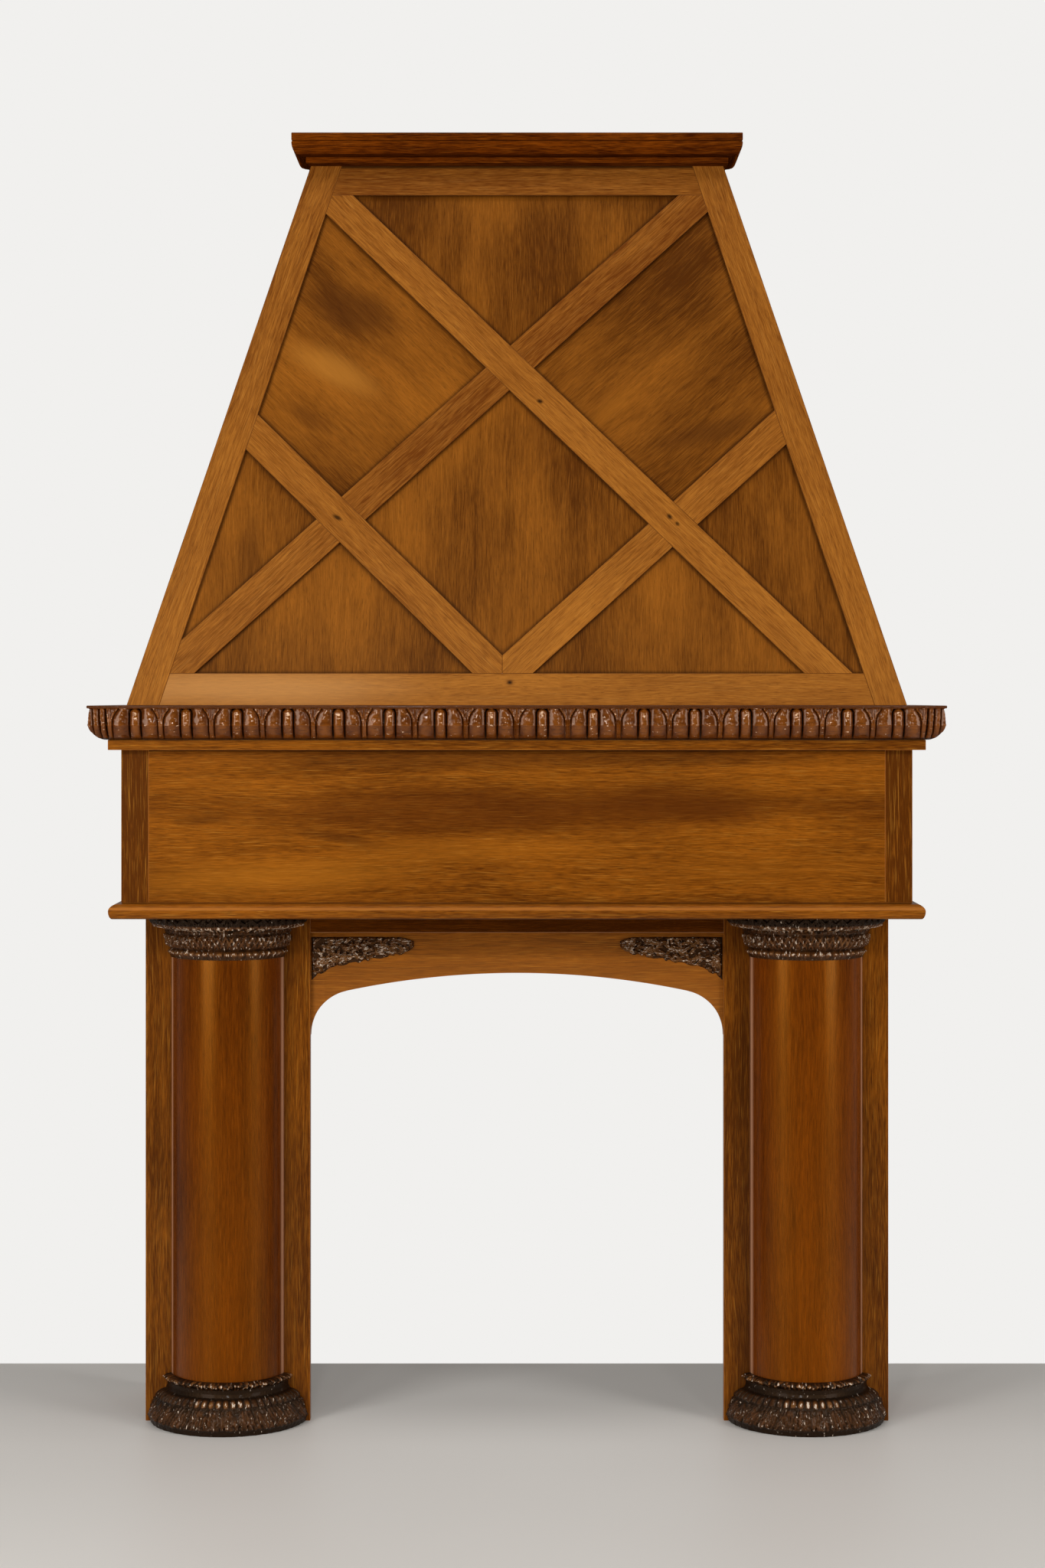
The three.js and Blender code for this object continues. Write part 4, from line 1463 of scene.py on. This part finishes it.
@dataclass
class Moulding:
    """A board with a profile worked on its front and its ends.

    Fields:
        node: The CAD node.
        finish: Its finish.
        profile: How far out and how high each level is, from the bottom up.
        half: Half the board's length where the profile gives 0.
        front: The y of its front there.
        wall: The y of its back.
        highlight_line: How far over its underside a painted highlight line runs.
        lightness: How much lighter its stain came out than on most boards.
    """

    node: str
    finish: Finish
    profile: np.ndarray
    half: float
    front: float
    wall: float
    highlight_line: float
    lightness: float

    def build(self) -> None:
        """Builds the board as level rings."""
        rows = []
        for out, z in self.profile:
            x = self.half + out
            y = self.front - out
            rows.append([(-x, self.wall, z), (-x, y, z), (x, y, z), (x, self.wall, z)])
        mesh = grid_mesh(self.node, np.array(rows))
        up = self.profile[:, 1] - self.profile[:, 1].min()
        # The arris value paints a highlight line at highlight_line over the underside, in the finish's
        # eased-edge colour.
        set_number(mesh, "arris", np.repeat(3.2 * ridge(up - self.highlight_line, 0.0022), 4))
        # The rim value paints shade along the nosing's top and bottom edges.
        set_number(mesh, "rim", np.repeat(2.4 * np.minimum(up, up.max() - up), 4))
        set_grain(mesh, (1, 0, 0), (0, 0, 1))
        KIT.add(self.node, mesh, self.finish, lightness=self.lightness)


@dataclass
class FriezeBox:
    """The box over the legs, with the rounded board under it.

    Fields:
        under_reach: How far the nosing curves back below its widest line.
        over_reach: How far it curves back above it.
        widest: The height of that line over the board's underside.
        stains: The patches on the front board.
    """

    under_reach: float = 0.008
    over_reach: float = 0.026
    widest: float = 0.0162
    stains: Sequence[Stain] = (
        Stain((-0.64, 1.262), (0.1, 0.022), 3, colour(66, 28, 3), 0.6),
        Stain((-0.36, 1.225), (0.12, 0.014), -10, colour(70, 30, 4), 0.55),
        Stain((0.35, 1.3), (0.5, 0.05), 0, colour(84, 38, 4), 0.5),
        Stain((0.0, 1.28), (0.9, 0.06), 0, colour(84, 36, 4), 0.6),
        Stain((0.0, 1.39), (1.0, 0.03), 0, colour(70, 34, 8), 0.5, 0.3),
        Stain((0.0, 1.405), (4.0, 0.0045), 0, colour(22, 8, 2), 0.9, 0.1),
        Stain((-0.5, 1.15), (0.3, 0.05), 2, colour(176, 106, 24), 0.5),
        Stain((-0.1, 1.2), (0.35, 0.03), 0, colour(164, 96, 20), 0.35),
        Stain((0.5, 1.16), (0.3, 0.04), 0, colour(160, 92, 18), 0.3),
    )

    def nosing(self) -> None:
        """The rounded board under the box."""
        low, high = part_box("nosing_board")
        widest = low.z + self.widest
        turn = np.linspace(0, math.pi / 2, 13)
        sine, cosine = np.sin(turn), np.cos(turn)
        under = np.stack([-self.under_reach * (1 - sine), widest - self.widest * cosine], axis=1)
        over = np.stack([-self.over_reach * (1 - cosine), widest + (high.z - widest) * sine], axis=1)
        Moulding(
            "nosing_board", Finish.AMBER, np.concatenate([under, over[1:]]), high.x, low.y, high.y,
            highlight_line=0.021, lightness=-0.08,
        ).build()

    def build(self) -> None:
        """Builds the box."""
        Board("frieze_front", Finish.AMBER, Run.ACROSS, stains=self.stains).build()
        for side in SIDES:
            Board(f"frieze_stile_{side}", Finish.AMBER, Run.UPRIGHT, lightness=-0.56).build()
            Board(f"frieze_side_{side}", Finish.AMBER, Run.DEEP).build()
        self.nosing()


@dataclass
class Shelf:
    """The shelf: a plain board under a carved edge, with the shelf board inside it."""

    def build(self) -> None:
        """Builds the shelf."""
        Board("fillet_board", Finish.AMBER, Run.ACROSS, lightness=-0.09).build()
        Board("shelf_board", Finish.HONEY, Run.ACROSS).build()
        ShelfCarving().build()


@dataclass
class Hood:
    """The tapering hood: framed boards, lattice strips and the panels between them.

    Fields:
        falling: The angle of the fibres that follow the falling strips, in degrees.
        rising: The angle of those that follow the rising strips.
        upright: The angle of upright fibres.
        fade: How much lighter the boards get for each metre down.
        rail_glare_and_spot: A painted highlight patch on the bottom rail's left, and a small dark spot.
        painted_crown_shadow: The painted shadow along the top rail, under the crown.
        knots: The knots in the falling strips.
        panels: How much lighter each panel is than most boards.
        panel_stains: The patches and knots on some panels.
    """

    falling: float = -45.5
    rising: float = 43.7
    upright: float = 90.0
    fade: float = 0.22
    rail_glare_and_spot: Sequence[Stain] = (
        # Painted highlight: a pale patch of glare on the rail's left.
        Stain((-0.52, 1.53), (0.42, 0.06), 0, colour(204, 146, 84), 0.6, 0.4),
        Stain((-0.0145, 1.542), (0.016, 0.014), 0, colour(112, 62, 20), 0.6, 0.5),
        Stain((-0.0145, 1.542), (0.0085, 0.0065), 0, colour(34, 14, 4), 1.0, 0.3),
    )
    painted_crown_shadow: Sequence[Stain] = (
        # Painted shadow: a dark band along the top rail, under the crown.
        Stain((0.0, 2.648), (3.0, 0.009), 0, colour(30, 12, 3), 0.9, 0.1),
    )
    knots: Sequence[Stain] = (
        Stain((0.048, 2.131), (0.009, 0.006), -20, colour(36, 16, 4), 0.95, 0.3),
        Stain((0.316, 1.886), (0.009, 0.006), -50, colour(36, 16, 4), 0.9, 0.3),
        Stain((0.332, 1.871), (0.007, 0.005), -50, colour(36, 16, 4), 0.8, 0.3),
        Stain((-0.372, 1.884), (0.014, 0.006), -30, colour(36, 16, 4), 0.9, 0.3),
    )
    panels: dict[str, float] = field(default_factory=lambda: {
        "top": -0.17, "upper_left": 0.04, "upper_right": -0.07, "centre": -0.03, "left": 0.03,
        "right": -0.04, "bottom_left": -0.12, "bottom_right": -0.03,
    })
    panel_stains: dict[str, Sequence[Stain]] = field(default_factory=lambda: {
        "upper_left": (
            Stain((-0.39, 2.2), (0.15, 0.045), -28, colour(178, 114, 40), 0.65),
            Stain((-0.345, 2.33), (0.12, 0.055), -20, colour(74, 36, 8), 0.6),
            Stain((-0.44, 2.1), (0.08, 0.025), -30, colour(84, 42, 8), 0.5),
        ),
        "upper_right": (
            Stain((0.42, 2.07), (0.16, 0.03), 15, colour(70, 34, 8), 0.5),
            Stain((0.2, 2.12), (0.1, 0.03), 43, colour(160, 96, 26), 0.4),
        ),
        "centre": (Stain((0.05, 2.15), (0.05, 0.16), 0, colour(84, 42, 8), 0.35),),
        "left": (Stain((-0.55, 1.8), (0.03, 0.12), 0, colour(84, 44, 10), 0.4),),
    })

    def build(self) -> None:
        """Builds the hood."""
        for side in SIDES:
            Board(f"hood_stile_{side}", Finish.HONEY, fade=self.fade).build()
            Board(f"hood_side_rear_stile_{side}", Finish.HONEY, Run.UPRIGHT, fade=self.fade).build()
            Board(f"hood_side_top_rail_{side}", Finish.HONEY, Run.DEEP, lightness=-0.2).build()
            Board(f"hood_side_bottom_rail_{side}", Finish.HONEY, Run.DEEP, lightness=0.1).build()
            Board(f"hood_side_panel_{side}", Finish.PANEL, Run.UPRIGHT, recessed=True).build()
        Board("hood_top_rail", Finish.HONEY, Run.ACROSS, lightness=-0.22, stains=self.painted_crown_shadow).build()
        Board("hood_bottom_rail", Finish.HONEY, Run.ACROSS, lightness=0.12, stains=self.rail_glare_and_spot).build()
        strips = {"long_falling": 0.12, "long_rising": -0.2, "short_falling": 0.0, "short_rising": 0.0}
        for strip, lightness in strips.items():
            angle = self.falling if "falling" in strip else self.rising
            Board(
                f"lattice_{strip}", Finish.HONEY, tilt=angle, lightness=lightness, fade=self.fade,
                stains=self.knots if "falling" in strip else (),
            ).build()
        for place, lightness in self.panels.items():
            tilt = {"upper_left": self.falling, "upper_right": self.rising}.get(place, self.upright)
            stains = self.panel_stains.get(place, ())
            Board(
                f"panel_{place}", Finish.PANEL, tilt=tilt, recessed=True, lightness=lightness, stains=stains,
            ).build()


@dataclass
class Crown:
    """The moulding on top of the hood, in three mitred lengths round a dust board.

    Fields:
        reach: How far the moulding stands out from the hood.
        thickness: How deep its back is.
        gap: Room between two lengths.
        lightness: How much lighter its stain came out than on most boards.
    """

    reach: float = 0.039
    thickness: float = 0.046
    gap: float = 0.0003
    lightness: float = -0.12

    def profile(self, bottom: float, top: float) -> np.ndarray:
        """How far out and how high each level is, from the bottom up, and how far from a quirk where shade is
        painted.
        """
        turn = np.linspace(0, math.pi / 2, 12)
        ovolo = np.stack([0.025 + 0.014 * np.sin(turn), 0.0195 + 0.0245 * (1 - np.cos(turn))], axis=1)
        # The third number paints shade: it is 0 in the foot under the crown and in the quirks.
        foot = [(0.003, 0.0, 0.0), (0.008, 0.0035, 0.0), (0.0095, 0.0045, 0.003), (0.010, 0.006, 0.02)]
        fillet = [(0.010, 0.0155, 0.02), (0.0095, 0.0165, 0.004), (0.012, 0.0172, 0.0), (0.023, 0.0185, 0.0)]
        round_part = [(out, z, min(1.0, 4 * (z - 0.0195) + 0.003)) for out, z in ovolo]
        head = [(0.0372, 0.0465, 0.0), (0.0375, 0.0475, 0.001), (0.0388, 0.0485, 0.01), (0.039, 0.050, 0.02)]
        edge = [(0.039, top - bottom - 0.0012, 0.02), (0.0378, top - bottom, 0.01)]
        return np.array([*foot, *fillet, *round_part, *head, *edge]) + np.array([0.0, bottom, 0.0])

    def build(self) -> None:
        """Builds the three lengths and the dust board."""
        low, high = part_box("crown_front")
        back = CAD_BOX[1].y
        levels = self.profile(low.z, high.z)
        inner = self.reach - self.thickness
        out = np.concatenate([levels[:, 0], [inner, inner]])
        z = np.concatenate([levels[:, 1], [high.z, low.z]])
        rim = np.concatenate([levels[:, 2], [1.0, 1.0]])
        core, front = high.x - self.reach, -low.y - self.reach
        x = core + out
        ring = [np.stack([sign * x, -(front + out), z], axis=1) for sign in (-1, 1)]
        self.length("crown_front", np.stack(ring), rim, (1, 0, 0), (0, -1, 0))
        for side, sign in SIDES.items():
            rear = np.stack([sign * (core + out), np.full_like(out, back), z], axis=1)
            fore = np.stack([sign * (core + out), -(front + out) + self.gap, z], axis=1)
            rows = np.stack([fore, rear]) if sign > 0 else np.stack([rear, fore])
            self.length(f"crown_return_{side}", rows, rim, (0, 1, 0), (1, 0, 0))
        Board("top_board", Finish.PANEL, Run.ACROSS).build()

    def length(self, node: str, rows: np.ndarray, rim: np.ndarray, along: Triple, face: Triple) -> None:
        """Builds one length between its two end sections.

        Args:
            node: The CAD node.
            rows: The two sections.
            rim: How far each of a section's points is from a quirk where shade is painted.
            along: The way its fibres run.
            face: The way its face looks.
        """
        mesh = grid_mesh(node, rows[:, ::-1])
        set_number(mesh, "rim", np.tile(rim[::-1], 2))
        set_grain(mesh, along, face)
        KIT.add(node, mesh, Finish.CROWN, lightness=self.lightness)


@dataclass
class Studio:
    """The pale floor, the lights and the camera.

    Fields:
        lens: The camera's focal length, in millimetres, on a 36 mm sensor.
        eye: Where the camera stands.
        shift: How far the picture is shifted down, as a share of its long side.
        floor_end: How far behind the mantel the floor ends.
    """

    lens: float = 66.0
    eye: Triple = (0.0115, -6.035, 1.513)
    shift: float = -0.0557
    floor_end: float = 0.235

    def camera(self) -> None:
        """Sets up the camera, level and square to the mantel."""
        data = bpy.data.cameras.new("camera")
        data.lens = self.lens
        data.sensor_width = 36.0
        data.shift_y = self.shift
        made = bpy.data.objects.new("camera", data)
        made.location = self.eye
        made.rotation_euler = (math.pi / 2, 0, 0)
        bpy.context.scene.collection.objects.link(made)
        bpy.context.scene.camera = made

    def floor(self) -> None:
        """Lays a pale floor."""
        end = CAD_BOX[1].y + self.floor_end
        corners = [(-7, -9, 0), (7, -9, 0), (7, end, 0), (-7, end, 0)]
        mesh = bpy.data.meshes.new("floor")
        mesh.from_pydata(corners, [], [(0, 1, 2, 3)])
        made = bpy.data.objects.new("floor", mesh)
        bpy.context.scene.collection.objects.link(made)
        shader = Shader(bpy.data.materials.new("floor"))
        place = shader.node("TexCoord", {}, {}).outputs["Object"]
        clouds = shader.noise(place, 2.0)
        shade = shader.mix(colour(222, 217, 210), colour(230, 226, 220), clouds)
        mesh.materials.append(shader.surface({"Roughness": 0.5}, {"Base Color": shade}))

    def softbox(self, name: str, place: Triple, size: tuple[float, float], power: float, aim: Triple) -> None:
        """Hangs one soft light.

        Args:
            name: Its name.
            place: Where it hangs.
            size: Its width and height.
            power: Its power, in watts.
            aim: The place that it looks at.
        """
        data = bpy.data.lights.new(name, "AREA")
        data.shape = "RECTANGLE"
        data.size, data.size_y = size
        data.energy = power
        made = bpy.data.objects.new(name, data)
        made.location = place
        made.rotation_euler = (Vector(aim) - Vector(place)).to_track_quat("-Z", "Y").to_euler()
        bpy.context.scene.collection.objects.link(made)

    def world(self) -> None:
        """Surrounds everything with a soft light that is stronger from behind, and looks plain and pale."""
        shader = Shader(bpy.data.worlds.new("studio"))
        place = shader.node("TexCoord", {}, {}).outputs["Generated"]
        behind = Signal(shader, shader.node("SeparateXYZ", {}, {0: place}).outputs["Y"])
        strength = behind.step(0.0, 0.9) * 0.4 + 0.05
        lit = shader.node("Background", {}, {"Color": (1.0, 0.98, 0.95, 1.0), "Strength": strength})
        pale = shader.node("Background", {}, {"Color": (*colour(241, 240, 238), 1.0)})
        seen = shader.node("LightPath", {}, {}).outputs["Is Camera Ray"]
        both = shader.node("MixShader", {}, {0: seen, 1: lit.outputs[0], 2: pale.outputs[0]})
        shader.node("OutputWorld", {}, {"Surface": both.outputs[0]})
        bpy.context.scene.world = shader.owner

    def build(self) -> None:
        """Sets up the studio."""
        self.camera()
        self.floor()
        self.world()
        self.softbox("left_light", (-2.5, -2.7, 1.95), (1.4, 2.9), 64.0, (0.0, 0, 1.3))
        self.softbox("right_light", (3.0, -2.3, 1.95), (1.2, 2.9), 53.0, (0.0, 0, 1.3))
        for side, sign in SIDES.items():
            self.softbox(f"small_light_{side}", (1.2 * sign, -3.4, 2.6), (0.22, 0.22), 7.0, (0.0, 0, 1.2))
        self.softbox("front_light", (-0.4, -4.3, 3.0), (0.28, 0.28), 22.0, (0.0, 0, 1.2))
        self.softbox("top_light", (0.0, -0.9, 5.4), (3.2, 1.2), 56.0, (0.0, -0.2, 1.2))
        bpy.context.scene.view_settings.view_transform = "Standard"


def main() -> None:
    """Builds the mantel and the studio round it."""
    logging.basicConfig(level=logging.INFO, format="%(name)s: %(message)s")
    for assembly in (Legs(), Opening(), FriezeBox(), Shelf(), Hood(), Crown(), Studio()):
        LOG.info("building %s", type(assembly).__name__)
        assembly.build()


if __name__ == "__main__":
    main()
